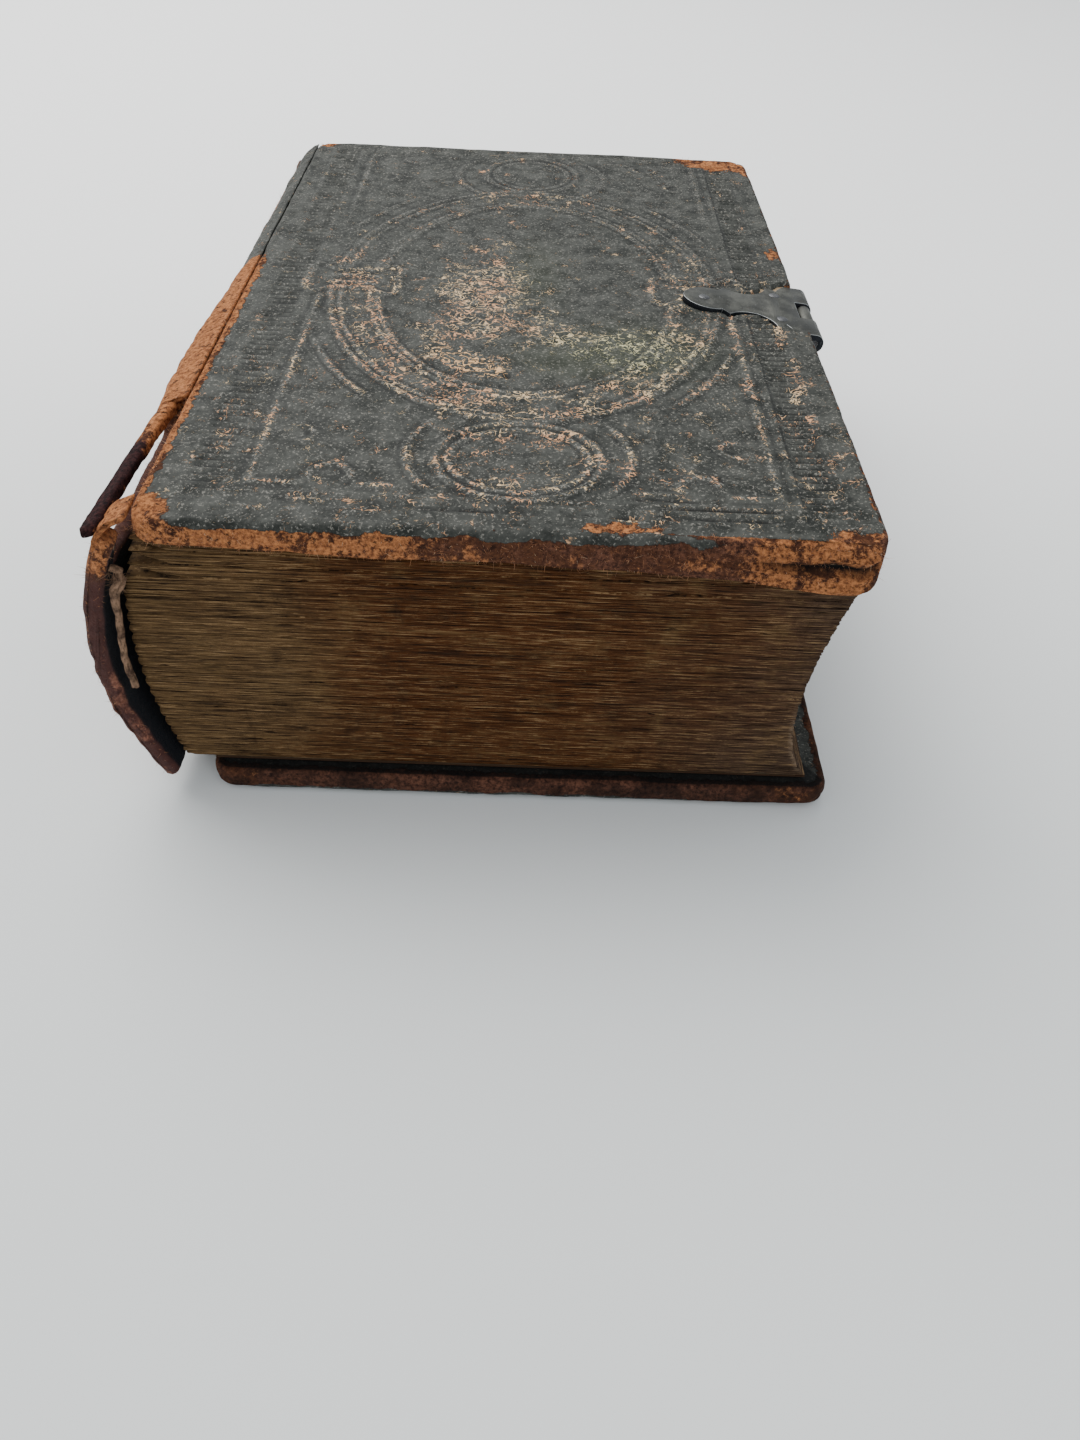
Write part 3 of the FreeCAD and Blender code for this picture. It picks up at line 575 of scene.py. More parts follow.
def outward(loop):
    """Level normals of a counter-clockwise loop of (x, y): its tangent turned a quarter turn."""
    tangent = np.roll(loop, -1, 0) - np.roll(loop, 1, 0)
    normal = np.stack([tangent[:, 1], -tangent[:, 0]], 1)
    return normal / np.linalg.norm(normal, axis=1, keepdims=True)


coarse = rounded_grid(WIDTH, LENGTH, 1.0)[0]
print("a coarse grid:", coarse.shape, "edge points:", len(edge_loop(*coarse.shape)))

# %% [markdown]
# ## A bed for the clasp plate
# The clasp plate lies in a pressed bed that gets deeper towards the fore-edge, where the plate dips. The
# plate's half width changes along it, so the bed is found from how far a place lies outside that half
# width. Leather climbs out of the bed on a short steep slope, and the fore-edge is cut back a little
# behind the barrels.

# %% Bed under the clasp plate
PLATE_REACH = np.array([0.0, 3.2, 4.6, 5.4, 7.4, 8.4, 10.4, 13.6, 16.4, 17.8, 21.5, 23.9, 25.2])
PLATE_HALF = np.array([10.8, 10.8, 9.2, 7.8, 9.6, 6.6, 4.8, 4.5, 6.2, 4.5, 3.9, 2.6, 0.0])


def clasp_bed(u, v, fore, axis_gap, side_middle, depth_at_tip, dip):
    """Depth of the plate's underside and distance outside its outline, for places (u, v)."""
    inward = fore - u + axis_gap
    half = np.interp(inward, PLATE_REACH, PLATE_HALF)
    outside = np.maximum(np.abs(v - side_middle) - half, inward - PLATE_REACH[-1])
    under = depth_at_tip - (PLATE_REACH[-1] - np.clip(inward, 0, 26)) * np.sin(np.radians(dip))
    return under, outside


def cut_back(v, side_middle):
    """How far the fore-edge is cut back behind the barrels: 0.8 mm with soft ends."""
    return 0.85 * between(v, side_middle - 11.4, side_middle + 11.4, 0.3)


BED_SLOPE = 3.0
print("plate half width 8 mm in:", np.interp(8.0, PLATE_REACH, PLATE_HALF).round(1), "mm")

# %% [markdown]
# ## Swollen and frayed edges
# Damp has split the upper board along its tail edge. It is hardly thicker at the spine, and twice as
# thick at the fore-edge corner, where the layers hang down past the leaves. Rings near the tail edge are
# lowered by that amount. The rubbed band's width and the ragged outline are more clouds.

# %% Build a cover
def tail_sag(u, upper):
    """Extra hang of the tail edge in millimetres: a slow rise, then a swollen fore-edge corner."""
    if not upper:
        return 0.5 * cloud(u, 0 * u, 14, 9, 3)
    return 1.2 * ramp(u, 4, 40) + 1.2 * ramp(u, 55, 85) + 2.4 * ramp(u, 84, 106) + 0.7 * meander(u, 9, 8, 4)


BARE_SPOTS = (((WIDTH - 6, LENGTH - 1), (12.5, 8.0), 1.6), ((WIDTH, LENGTH - 9), (3.5, 6), 0.9),
              ((WIDTH - 3, 1), (8, 3.5), 1.1), ((1, 2), (5.0, 5.5), 1.3), ((1, LENGTH), (5, 4), 1.3),
              ((WIDTH - 2, 108), (2.6, 5), 0.8), ((WIDTH, 12), (2.2, 9), 0.8), ((70, 2), (9, 2.4), 0.8))


def rub_share(u, v, edge, upper):
    """How bare a place is: 1 at the edge, falling over a width that wanders, and more on worn corners."""
    k = 1.0 if upper else 0.7
    noise = cloud(u + 3 * v, v, 6.0, 51, 4)
    tail = 1.5 * (1 - ramp(v, 0.5, 3.0)) * (0.35 + noise) * (0.15 + 0.85 * ramp(u, 55, 90))
    width = 0.7 * noise * k * ramp(np.maximum(v, u - 60), 1.0, 6.0) + tail
    width = width + k * (1 - ramp(u, 0.5, 6.0)) * between(v, -2, 97, 6) * (1.0 + 2.0 * noise)
    share = 1.15 - edge / (width + 0.35)
    for middle, half, amount in BARE_SPOTS:
        share = np.maximum(share, k * amount * blob(u, v, middle, half) - 0.12)
    return np.clip(share, 0, 1)


def rim_profile():
    """Steps out and down round a board's edge: quarter circle, slightly bulging side, quarter circle."""
    turn = np.radians(np.linspace(15, 90, 5))
    top = np.column_stack([RIM * np.sin(turn), RIM * (np.cos(turn) - 1)])
    t = np.linspace(0.12, 0.88, 9)
    side = np.column_stack([RIM + 0.12 * np.sin(np.pi * t), -RIM - (THICK - RIM - 0.8) * t])
    foot = np.column_stack([RIM - 0.8 * (1 - np.cos(turn)), -THICK + 0.8 * (1 - np.sin(turn)) + 0.01])
    return np.concatenate([top, side, foot])


def cover_face(upper, step, strength, clasp):
    """Places, height and marks of the outer face, with the clasp's bed pressed in."""
    u, v = rounded_grid(WIDTH - 2 * RIM, LENGTH - 2 * RIM, step)
    u, v = u + RIM, v + RIM
    height, share, sunk, ovals = pressed(u, v)
    # places just beside a raised line join sunk, and the finish paints shade there
    around = sum(np.roll(share, shift, axis) for shift in (-3, -2, 2, 3) for axis in (0, 1)) / 8
    sunk = np.clip(sunk + 1.1 * np.maximum(around - share, 0), 0, 1)
    wear, green, crack, hole = worn(u, v, share, ovals, strength)
    under, outside = clasp_bed(u, v, WIDTH, *clasp)
    edge = np.minimum.reduce([u, v, WIDTH - u, LENGTH - v])
    away = ramp(outside, 0.0, 2.5) * ramp(edge, 1.2, 2.4)
    swell = 0.45 * uneven(u, v, 34, 3, 3) * ramp(edge, 0, 12)
    w = (height - 0.18) * 0.80 * away + swell - 0.33 * crack - 0.9 * hole
    w = w + 0.12 * uneven(u, v, 2.6, 14, 3) + 0.30 * uneven(u, v, 7.0, 15, 2) * (1 - ramp(edge, 1, 6))
    w = w - 0.25 * blob(u, v, (WIDTH, 0), (9, 9)) - 0.4 * (1 - ramp(v, 0.5, 5)) * cloud(u, v, 5, 4, 3)
    rub = rub_share(u, v, edge, upper) * ramp(outside, 0.2, 2.0)
    w = w - 0.30 * rub * ramp(edge, 0.2, 1.2) + 0.25 * rub * uneven(u, v, 1.5, 16, 3)
    w = np.minimum(w, under - 0.10 + BED_SLOPE * np.maximum(outside, 0))
    if not upper:
        w = np.minimum(w - 0.25, 0.0)
    # grime: light dirt on the upper cover, and painted shade (0.9) all over the lower cover
    marks = leather_marks(u, wear=wear, rub=rub, crack=np.clip(crack + hole, 0, 1), green=green,
                          ridge=(share - 1.2 * sunk) * away, grime=0.15 if upper else 0.9)
    return u - cut_back(v, clasp[1]) * ramp(u, WIDTH - 14, WIDTH), v, w, marks


TURN_IN = ((2.0, -THICK + 0.01), (4.0, -THICK), (10.6, -THICK), (11.0, -THICK + 0.49))


def cover_skin(name, low, upper, step, strength, finish, clasp):
    """Grid of the outer face, then rings round the rim to the inner face, then a lid that is sunk by
    the pastedown's thickness."""
    u, v, w, marks = cover_face(upper, step, strength, clasp)
    loop = edge_loop(*u.shape)
    flat = np.stack([u.ravel()[loop], v.ravel()[loop]], 1)
    normal, start = outward(flat), w.ravel()[loop]
    near_tail = 1 - ramp(flat[:, 1], RIM, RIM + 2.5)
    sag = tail_sag(flat[:, 0], upper) * (1 - ramp(flat[:, 1], RIM, RIM + 3.0))
    along = np.cumsum(np.hypot(*(flat - np.roll(flat, 1, 0)).T))
    mouth = ramp(flat[:, 0], 86, 99) * (1 - ramp(flat[:, 1], 4, 9)) * (1.0 if upper else 0.0)
    rings, depths, split = [], [], []
    for out, deep in rim_profile():
        share_down = min(1.0, -deep / 4.6)
        rough = 0.75 * uneven(along, deep * 1.6 + 0 * along, 2.6, 61, 4)
        rough = rough * (0.25 + share_down * (1.2 - share_down))
        gap = mouth * bell(deep + 2.5 + 0.5 * meander(along, 5, 63, 2), 0.42)
        layer = 0.30 * np.sin(flat[:, 0] * 0.05 + deep * 7.0) * near_tail * ramp(sag, 1.0, 3.5) - 1.5 * gap
        rings.append(flat + normal * (out + rough + layer)[:, None])
        depths.append(start * (1 - share_down) + deep - sag * share_down ** 1.3)
        split.append(gap)
    for inset, deep in TURN_IN:
        rings.append(flat - (flat - CENTRE) / np.abs(flat - CENTRE).max(1, keepdims=True) * inset)
        depths.append(np.full(len(loop), deep))
        split.append(0 * along)
    points = np.concatenate([np.stack([u.ravel(), v.ravel(), w.ravel()], 1)]
                            + [np.column_stack([r, d]) for r, d in zip(rings, depths)])
    numbers = u.size + np.arange(len(rings) * len(loop)).reshape(len(rings), -1)
    first = np.concatenate([loop[None, :], numbers])
    a, b = first[:-1], first[1:]
    skirt = np.stack([a, b, np.roll(b, -1, 1), np.roll(a, -1, 1)], -1).reshape(-1, 4)
    extra = rim_marks(marks, loop, flat, normal, np.array(split), len(rings), upper)
    marks = {key: np.concatenate([value.ravel(), extra[key].ravel()]) for key, value in marks.items()}
    x, y, z = points[:, 0] + low[0], points[:, 1] + low[1], points[:, 2]
    z = TOP + z if upper else -z
    faces = np.concatenate([squares(*u.shape)[:, ::-1], skirt])
    return make_piece(name, np.stack([x, y, z], 1), faces, finish, [first[-1][::-1]], marks)


def rim_marks(marks, loop, flat, normal, split, count, upper):
    """Marks of the rings: bare on the rim, darker in mid-length, on the fore-edge and inside the split; on
    the lower cover the rim and the tail side's last rings get painted shade.
    """
    edge_rub = marks["rub"].ravel()[loop]
    spine_side = 0.80 - 0.9 * ramp(flat[:, 1], 88, 104)
    facing = [normal[:, 1] > 0.7, normal[:, 0] < -0.7, normal[:, 0] > 0.7]
    side = np.select(facing, [0.35, spine_side, 0.52], 0.95)
    side = side if upper else np.maximum(side, 0.8)
    ring = np.arange(count)[:, None]
    lip = 0.75 * (1 - ramp(ring, 2.5, 6)) * (normal[:, 1] < -0.7) * between(flat[:, 0], 5, 84, 3)
    rub = np.maximum(side + 0.2 * (edge_rub - 0.5), edge_rub * 0.9) - lip
    wander = cloud(np.cumsum(np.hypot(*(flat - np.roll(flat, 1, 0)).T)), ring * 0.9, 3.0, 65, 4)
    rub = rub + 1.1 * (wander - 0.5) * (1 - ramp(ring, 3, 9)) * (normal[:, 1] < -0.7)
    rub[-len(TURN_IN):] = 0
    spots = cloud(flat[:, 0], flat[:, 1], 11, 66, 3)
    middle = (0.05 + 0.60 * ramp(flat[:, 0], 10, 60) * (0.3 + 0.8 * spots)) * (1 - ramp(flat[:, 1], 3, 8))
    middle = middle * (1 - 0.7 * ramp(flat[:, 0], 84, 96)) + 0.45 * (normal[:, 0] > 0.7)
    ends = 1 - between(flat[:, 0], 12, 96, 8)
    # on the lower cover this value is painted shade, a little less at the ends
    grime = (np.clip(middle, 0, 1) if upper else 0.75 - 0.35 * ends) * np.ones((count, 1))
    dark = np.clip(1.2 * split, 0, 1)
    # painted shade: the lower cover's last rings on the tail side, under the leaves, are painted near black
    if not upper:
        dark[-len(TURN_IN) - 1:] = 0.85 * (normal[:, 1] < -0.3)
    return leather_marks(rub, wear=0.12, rub=rub, crack=dark, grime=grime)


def clasp_place(pin_node, low, depth_at_tip, dip):
    """Barrel axis past the fore-edge, middle along the edge, and the bed's two depths."""
    pin_low, pin_high = span(pin_node)
    middle = (pin_low + pin_high) / 2
    return middle[0] - (low[0] + WIDTH), middle[1] - low[1], depth_at_tip, dip


FINE, COARSE = 0.5, 0.7
upper_clasp = clasp_place("hasp_hinge_pin", UPPER_LOW, 0.1, 5.5)
lower_clasp = clasp_place("catch_bar", LOWER_LOW, -1.7, 2.5)
upper_cover = cover_skin("upper_cover_leather", UPPER_LOW, True, FINE, 1.0, COVER_LEATHER, upper_clasp)
settle(upper_cover, "upper_cover", ["upper_leather"])
# the lower cover's copy of the finish: more dark blotches, and painted shade over its bare fibres
SHADED_LOWER_LEATHER = cover_finish("lower_cover_finish", sealed=0.50, painted_shade=0.50)
lower_cover = cover_skin("lower_cover_leather", LOWER_LOW, False, COARSE, 0.6, SHADED_LOWER_LEATHER, lower_clasp)
settle(lower_cover, "lower_cover", ["lower_leather"])

# %% [markdown]
# ## The block of leaves
# A sewn book is a pile of gatherings. The folds make a rounded back, and the fore-edge is its hollow
# answer. Both curves are simple functions of height. Each gathering is drawn as a pile of leaves of
# uneven thickness: for every leaf two rows of points at its edge and one row sunk between leaves, all
# carried round the gathering's outline. The dark lines between leaves come partly from that geometry and
# partly from painted shade: a mark tells the material which points are sunk, and those are painted near
# black.

# %% Back and fore-edge curves
TEXT_LOW, TEXT_HIGH = span("gathering_20")[0][2], span("gathering_01")[1][2]
TEXT_THICK = TEXT_HIGH - TEXT_LOW
PAGE_HEAD = span("gathering_10")[1][1]
FOLD_X = HINGE[0] - 1.5
BACK_ROUND, FORE_ROUND, FOLD_BULGE, ROOT_TAPER = 3.6, 5.0, 0.45, 6.0
PAGE_RIM = 2.0
FORE_FOOT, FORE_TOP = LOWER_HIGH[0] - 4.0, UPPER_HIGH[0] - 0.4


def back_line(z):
    """Arc through both ends of the back, BACK_ROUND proud in the middle."""
    half = TEXT_THICK / 2
    radius = (half**2 + BACK_ROUND**2) / (2 * BACK_ROUND)
    return FOLD_X - BACK_ROUND + radius - np.sqrt(np.maximum(radius**2 - (z - TEXT_LOW - half) ** 2, 0))


def fore_line(z):
    """Straight line from foot to top, less a hollow of 4 times its depth times s times (1 - s)."""
    t = np.clip((z - TEXT_LOW) / TEXT_THICK, 0, 1)
    s = t**0.7
    return FORE_FOOT + (FORE_TOP - FORE_FOOT) * t - FORE_ROUND * 4 * s * (1 - s)


print("page width at mid-height:", round(float(fore_line(28.0) - back_line(28.0)), 1), "mm")

# %% [markdown]
# ## Brown page edges
# The edges were stained and have darkened with handling: olive-gold near the back, red-brown in the
# middle and grey-brown by the fore-edge. Noise that is stretched along the leaves and squeezed across
# them gives the fine streaks. Stronger, broader streaks and a few smudges sit over them.

# %% Page edge and paper finishes
def page_edge_finish():
    """Colour by place along x, under fine and broad streaks that follow the leaves, with painted shade on the
    sunk rows.
    """
    r = Recipe("page_edges", roughness=0.86, specular=0.10)
    x = r.add("ShaderNodeSeparateXYZ", {0: r.place}).outputs["X"]
    x = r.plus(x, r.swing(r.noise(38, 3), 0.05))
    gold, red, grey = (0.122, 0.072, 0.032), (0.084, 0.030, 0.0090), (0.082, 0.050, 0.032)
    tone = r.over(gold, red, x, -0.054, -0.022)
    tone = r.over(tone, grey, x, 0.012, 0.050)
    clouds = r.noise(110, 6, rough=0.72, warp=0.3)
    tone = r.over(tone, (0.165, 0.100, 0.042), clouds, 0.50, 0.72, 0.60)
    tone = r.over(tone, (0.028, 0.013, 0.006), clouds, 0.47, 0.32, 0.60)
    fine = r.noise(1.0, 5, r.stretch(150, 150, 6800), rough=0.82)
    tone = r.over(tone, (0.009, 0.005, 0.003), fine, 0.50, 0.40, 0.92)
    tone = r.over(tone, (0.350, 0.220, 0.105), fine, 0.54, 0.64, 0.90)
    broad = r.noise(1.0, 4, r.stretch(45, 45, 1000), rough=0.72)
    tone = r.over(tone, (0.014, 0.007, 0.004), broad, 0.44, 0.30, 0.8)
    tone = r.over(tone, (0.210, 0.130, 0.055), broad, 0.58, 0.72, 0.35)
    upright = r.noise(1.0, 4, r.stretch(260, 260, 70), rough=0.7)
    tone = r.over(tone, (0.016, 0.007, 0.004), upright, 0.60, 0.76, 0.5)
    # painted shade: sunk rows between leaves, and the inset rows at each gathering's faces, are darkened
    # towards near black
    tone = r.blend(r.times(r.mark("sunk"), 0.7), tone, (0.010, 0.005, 0.003))
    hairy = r.spread(r.noise(1.0, 3, r.stretch(900, 900, 5000)), 0.38, 0.60)
    tone = r.blend(r.times(r.mark("pale"), hairy), tone, (0.270, 0.190, 0.125))
    r.raise_by(fine, 0.12)
    return r.colour(tone)


def paper_finish(name, light, dark):
    """Cloudy paper with a few brown spots, stained along its edges."""
    r = Recipe(name, roughness=0.88, specular=0.2)
    tone = r.over(light, dark, r.noise(60, 5, rough=0.7), 0.35, 0.7)
    fox = r.spread(r.cells(230), 0.16, 0.06)
    fox = r.times(fox, r.spread(r.noise(45, 2), 0.5, 0.62, 0.0, 0.6))
    tone = r.blend(fox, tone, (0.30, 0.15, 0.06))
    tone = r.blend(r.mark("stain"), tone, (0.050, 0.024, 0.012))
    r.raise_by(r.noise(1900, 4), 0.05)
    return r.colour(tone)


PAGE_EDGE = page_edge_finish()
PAPER = paper_finish("aged_paper", (0.66, 0.55, 0.37), (0.52, 0.40, 0.23))
PASTE_PAPER = paper_finish("pastedown_paper_finish", (0.58, 0.47, 0.30), (0.40, 0.29, 0.16))
print("made", PAGE_EDGE.name, PAPER.name)

# %% [markdown]
# ## Round the outline, leaf by leaf
# The outline of a gathering runs along the head, down the fore-edge, back along the tail and up the
# folds. Along it each point knows which way is out, so a leaf that stands proud by a tenth of a
# millimetre is one added number. The front gatherings thin towards their folds, which is what lets
# them turn. Both faces are closed with a page.

# %% Gatherings
def outline(columns=(118, 104, 118, 40)):
    """Shares along the page and the outward way of each point round a page's outline, tail edge first."""
    tail, fore, head, back = (np.linspace(0, 1, n, endpoint=False) for n in columns)
    across = np.concatenate([tail, np.ones(len(fore)), 1 - head, np.zeros(len(back))])
    along = np.concatenate([np.zeros(len(tail)), fore, np.ones(len(head)), 1 - back])
    side = np.repeat([0, 1, 2, 3], columns)
    return across, along, side


LEAVES, LEAF_GAP = 8, 0.055
ACROSS, ALONG, SIDE = outline()
OUT_X = np.where(SIDE == 1, 1.0, np.where(SIDE == 3, -1.0, 0.0))
OUT_Y = np.where(SIDE == 0, -1.0, np.where(SIDE == 2, 1.0, 0.0))


def leaf_rows(low, high, seed):
    """Heights of the rows, which are sunk, and each row's leaf: uneven leaves that fill the gathering."""
    random = np.random.default_rng(seed)
    thick = random.uniform(0.5, 1.6, LEAVES)
    tops = low + (high - low) * np.cumsum(thick) / thick.sum()
    starts = np.concatenate([[low], tops[:-1]])
    rows = np.stack([starts + 0.012, tops - LEAF_GAP, tops - LEAF_GAP / 2], 1).ravel()[:-1]
    return rows, np.tile([0.0, 0.0, 1.0], LEAVES)[:-1], np.repeat(np.arange(LEAVES), 3)[:-1]


def gathering(number, turning):
    """Rows of points round the outline, with leaves that stand out unevenly, and two pages as lids."""
    low, high = span("gathering_%02d" % number)
    z, sunk, leaf = leaf_rows(low[2], high[2], number)
    random = np.random.default_rng(500 + number)
    start, end = back_line(z), fore_line(z)
    t = (z - low[2]) / (high[2] - low[2])
    if turning:
        start = back_line(high[2]) + ROOT_TAPER * (1 - t)
    else:
        start = start - FOLD_BULGE * 4 * t * (1 - t)
    proud = random.normal(0, 0.07, LEAVES)[leaf][:, None] - 0.16 * sunk[:, None]
    where = ACROSS * 109 + ALONG * 160
    proud = proud + 0.16 * (soft_noise(leaf[:, None] * 7.3 + 0 * ACROSS, where, 9.0, number) - 0.5)
    torn = ramp(soft_noise(leaf[:, None] * 3.1 + 0 * ACROSS, where, 3.5, 90 + number), 0.86, 0.95)
    proud = np.where(SIDE == 3, -0.05 * sunk[:, None], proud - 0.30 * torn * (sunk[:, None] < 1))
    proud = np.clip(proud, -0.5, 0.12)
    inset = -PAGE_RIM - (ROOT_TAPER - 2) * (SIDE == 3)
    proud = np.concatenate([inset[None, :], proud, inset[None, :]])
    z, start, end, sunk = (np.concatenate([a[:1], a, a[-1:]]) for a in (z, start, end, sunk))
    # the inset rows at both faces take part of the painted shade, so the gap between gatherings looks shaded
    sunk[[0, -1]] = 0.45
    x = start[:, None] + (end - start)[:, None] * ACROSS + proud * OUT_X
    x = x - PAGE_RIM * (2 * ACROSS - 1) * (SIDE % 2 == 0) * (proud < -1)
    y = (ALONG * 2 - 1) * PAGE_HEAD + proud * OUT_Y
    y = y - PAGE_RIM * (2 * ALONG - 1) * (SIDE % 2 == 1) * (proud < -1)
    corner = (SIDE == 1) * (1 - ramp(ALONG, 0.004, 0.02)) + (SIDE == 0) * ramp(ACROSS, 0.990, 0.998)
    pale = 0.8 * corner * (1 - ramp(z[:, None], 15, 25)) * ramp(z[:, None], 5, 9) * (proud > -1)
    points = np.stack([x, y, z[:, None] + 0 * x], -1)
    marks = {"sunk": sunk[:, None] + 0 * x, "pale": pale}
    piece = make_tube("gathering_%02d_leaves" % number, points, PAGE_EDGE, marks)
    piece.data.materials.append(PAPER)
    pages = np.zeros(len(piece.data.polygons), np.int32)
    pages[-2:] = 1
    piece.data.polygons.foreach_set("material_index", pages)
    for page in (-1, -2):
        piece.data.polygons[page].use_smooth = False
    body = "turning_gathering_%d" % number if turning else "text_block"
    return settle(piece, body, ["gathering_%02d" % number])


GATHERINGS, TURNING = 20, 3
for number in range(1, GATHERINGS + 1):
    gathering(number, number <= TURNING)

# %% [markdown]
# ## The loose spine
# The spine cover is one curved wall, a circle's arc seen from the end. A closed ring of points goes down
# the outer face, round the ragged foot, up the inner face and over the top edge, and the ring is
# repeated from tail to head. Under the torn joint the arc simply starts lower, so the notch is in the
# same grid. Noise wrinkles the outer face, and a crease runs along it at mid-height where it was bent.

# %% Circle of the spine
SPINE_LOW, SPINE_HIGH = span("spine_leather")
SHELL = 2.2
TEAR_LOW, TEAR_HIGH, TEAR_DROP = SPINE_LOW[1] + 5.0, SPINE_LOW[1] + 43.0, 8.0


def circle_through(a, b, c):
    """Centre and radius: the centre is equally far from all three places, which gives two linear sums."""
    centre = np.linalg.solve(2 * np.array([b - a, c - a]), np.array([b @ b - a @ a, c @ c - a @ a]))
    return centre, np.hypot(*(a - centre))


spine_top = HINGE - (3.2, 5.5)
spine_foot = np.array([FOLD_X - 1.6, 4.4])
spine_belly = np.array([FOLD_X - BACK_ROUND - FOLD_BULGE - 3.6, (spine_top[1] + spine_foot[1]) / 2])
SPINE_CENTRE, SPINE_INNER = circle_through(spine_top, spine_belly, spine_foot)
rays = [place - SPINE_CENTRE for place in (spine_top, spine_foot)]
ANGLES = [np.arctan2(ray[1], ray[0]) % (2 * np.pi) for ray in rays]
print(f"spine arc: radius {SPINE_INNER:.1f} mm, {np.degrees(ANGLES[1] - ANGLES[0]):.0f} degrees")

# %% Rubbed outside and dark inside
def spine_finish():
    """Dark and rosy brown by the dyed mark, tan where bare, and near-black navy inside, darkened with painted
    shade.
    """
    r = Recipe("spine_leather_finish", roughness=0.92, sheen=0.05, specular=0.12)
    inner, bare, dyed = r.mark("inner"), r.mark("bare"), r.mark("dyed")
    tone, nap = rubbed_colour(r, 0.35, dyed)
    blots = r.plus(r.noise(150, 6, rough=0.7, warp=0.5), r.times(dyed, 0.45))
    dark = r.blend(r.noise(700, 4), (0.030, 0.012, 0.012), (0.110, 0.044, 0.035))
    rosy = r.over((0.070, 0.026, 0.018), (0.300, 0.125, 0.080), nap, 0.35, 0.65)
    outside = r.over(rosy, dark, blots, 0.52, 0.64)
    tone = r.over(outside, tone, r.plus(bare, r.times(r.noise(380, 5, rough=0.7), 0.6)), 0.95, 1.30)
    # painted shade: the navy inside face is darkened to near black, as the shade of the hollow
    navy_and_hollow_shade = r.blend(r.noise(160, 4), (0.0025, 0.0035, 0.007), (0.006, 0.007, 0.011))
    tone = r.blend(inner, tone, navy_and_hollow_shade)
    r.raise_by(r.noise(520, 5, rough=0.7), 0.55)
    r.raise_by(nap, 0.35)
    return r.colour(tone)


SPINE_FINISH = spine_finish()
print("made", SPINE_FINISH.name)

# %% Spine wall
def spine_wall():
    """Rings of outer arc, foot, inner arc and top edge at each place along the spine."""
    close = np.array([0.0, 0.12, 0.4, 0.9])
    y = np.concatenate([SPINE_LOW[1] + close, np.arange(SPINE_LOW[1] + 1.6, SPINE_HIGH[1] - 1.3, 0.8),
                        SPINE_HIGH[1] - close[::-1]])[:, None]

    def around(outer, foot, inner, top):
        """One value for each point of a ring: 84 outside, two at the foot, 56 inside, two on top."""
        return np.concatenate([outer + np.zeros(84), foot, inner + np.zeros(56), top])[None, :]

    share = around(np.linspace(0, 1, 84), [1.0, 1.0], np.linspace(1, 0, 56), [0.0, 0.0])
    depth = around(1.0, [0.75, 0.25], 0.0, [0.25, 0.75])
    past = around(0.0, [0.45, 0.45], 0.0, [-0.45, -0.45])
    side = around(0.0, [0.0, 0.5], 1.0, [0.5, 0.0]) + 0 * y
    ragged = 2.6 * meander(y, 5.0, 71, 4)
    notch = between(y, TEAR_LOW - 0.2, TEAR_HIGH + 1.5, 0.9) * (TEAR_DROP + ragged)
    first = ANGLES[0] + (notch + 0.2 + 0.3 * meander(y, 3.0, 72, 3)) / SPINE_INNER
    last = ANGLES[1] - (0.9 * cloud(y, 0 * y, 4.0, 73, 4) - 0.35) / SPINE_INNER
    angle = first + (last - first) * share + past / SPINE_INNER
    arc = (angle - ANGLES[0]) * SPINE_INNER
    from_end = np.minimum(y - SPINE_LOW[1], SPINE_HIGH[1] - y)
    thin = 0.45 + 0.85 * ramp(from_end, -0.25, 0.6) - 0.3 * ramp(from_end, 0.8, 5)
    from_top, from_foot = (angle - first) * SPINE_INNER, (last - angle) * SPINE_INNER
    edge = np.minimum.reduce([from_end + 0 * arc, from_top, from_foot])
    wrinkle = 0.8 * uneven(y, arc, 7.0, 74, 5) + 0.3 * uneven(y * 0.4, arc, 1.6, 75, 2)
    crease = -0.7 * bell(arc - 23.5 - 1.2 * meander(y, 30, 76, 3), 1.1)
    radius = SPINE_INNER + SHELL * (0.5 + (depth - 0.5) * thin)
    radius = radius + depth * (wrinkle + crease) * ramp(edge, -0.6, 1.8)
    radius = radius - 0.35 * (1 - depth) * cloud(y, arc, 3.0, 78, 3)
    tattered = 1.5 * (cloud(arc, 0 * arc, 4.2, 77, 4) - 0.45) * (1 - ramp(from_end, 0, 6))
    away = np.where(y < 0, 1, -1) * tattered
    x = SPINE_CENTRE[0] + radius * np.cos(angle)
    z = SPINE_CENTRE[1] + radius * np.sin(angle)
    points = np.stack([x, y + away, np.maximum(z, 0.15)], -1)
    dyed = np.clip(between(z, 29, 46, 3) * 0.9 + 0.25 * (z < 29) + 0.30 * ramp(y, -60, 40), 0, 1)
    inner = side * ramp(from_end, 0.5, 1.0) * ramp(from_top, 0.2, 0.7)
    bare = np.clip(1.15 - edge / 1.8, 0, 1) * (1 - inner) * (0.45 + 0.55 * ramp(z, 42, 48))
    marks = {"inner": inner, "bare": bare, "dyed": dyed}
    return make_tube("spine_cover_leather", points, SPINE_FINISH, marks)


settle(spine_wall(), "spine_cover", ["spine_leather", "spine_inlay"])

# %% [markdown]
# ## The torn joint
# Between the board and the spine the leather has lost its face, so it is bare suede. It is a strap with
# rounded edges that follows a curved path from the hinge line down to the spine's top edge. Near the
# tail it has torn: a narrow strap has sprung away from the board, and a short piece still holds at the
# very end. A strap is a flat ring of points carried along a path, with its own wandering edges.

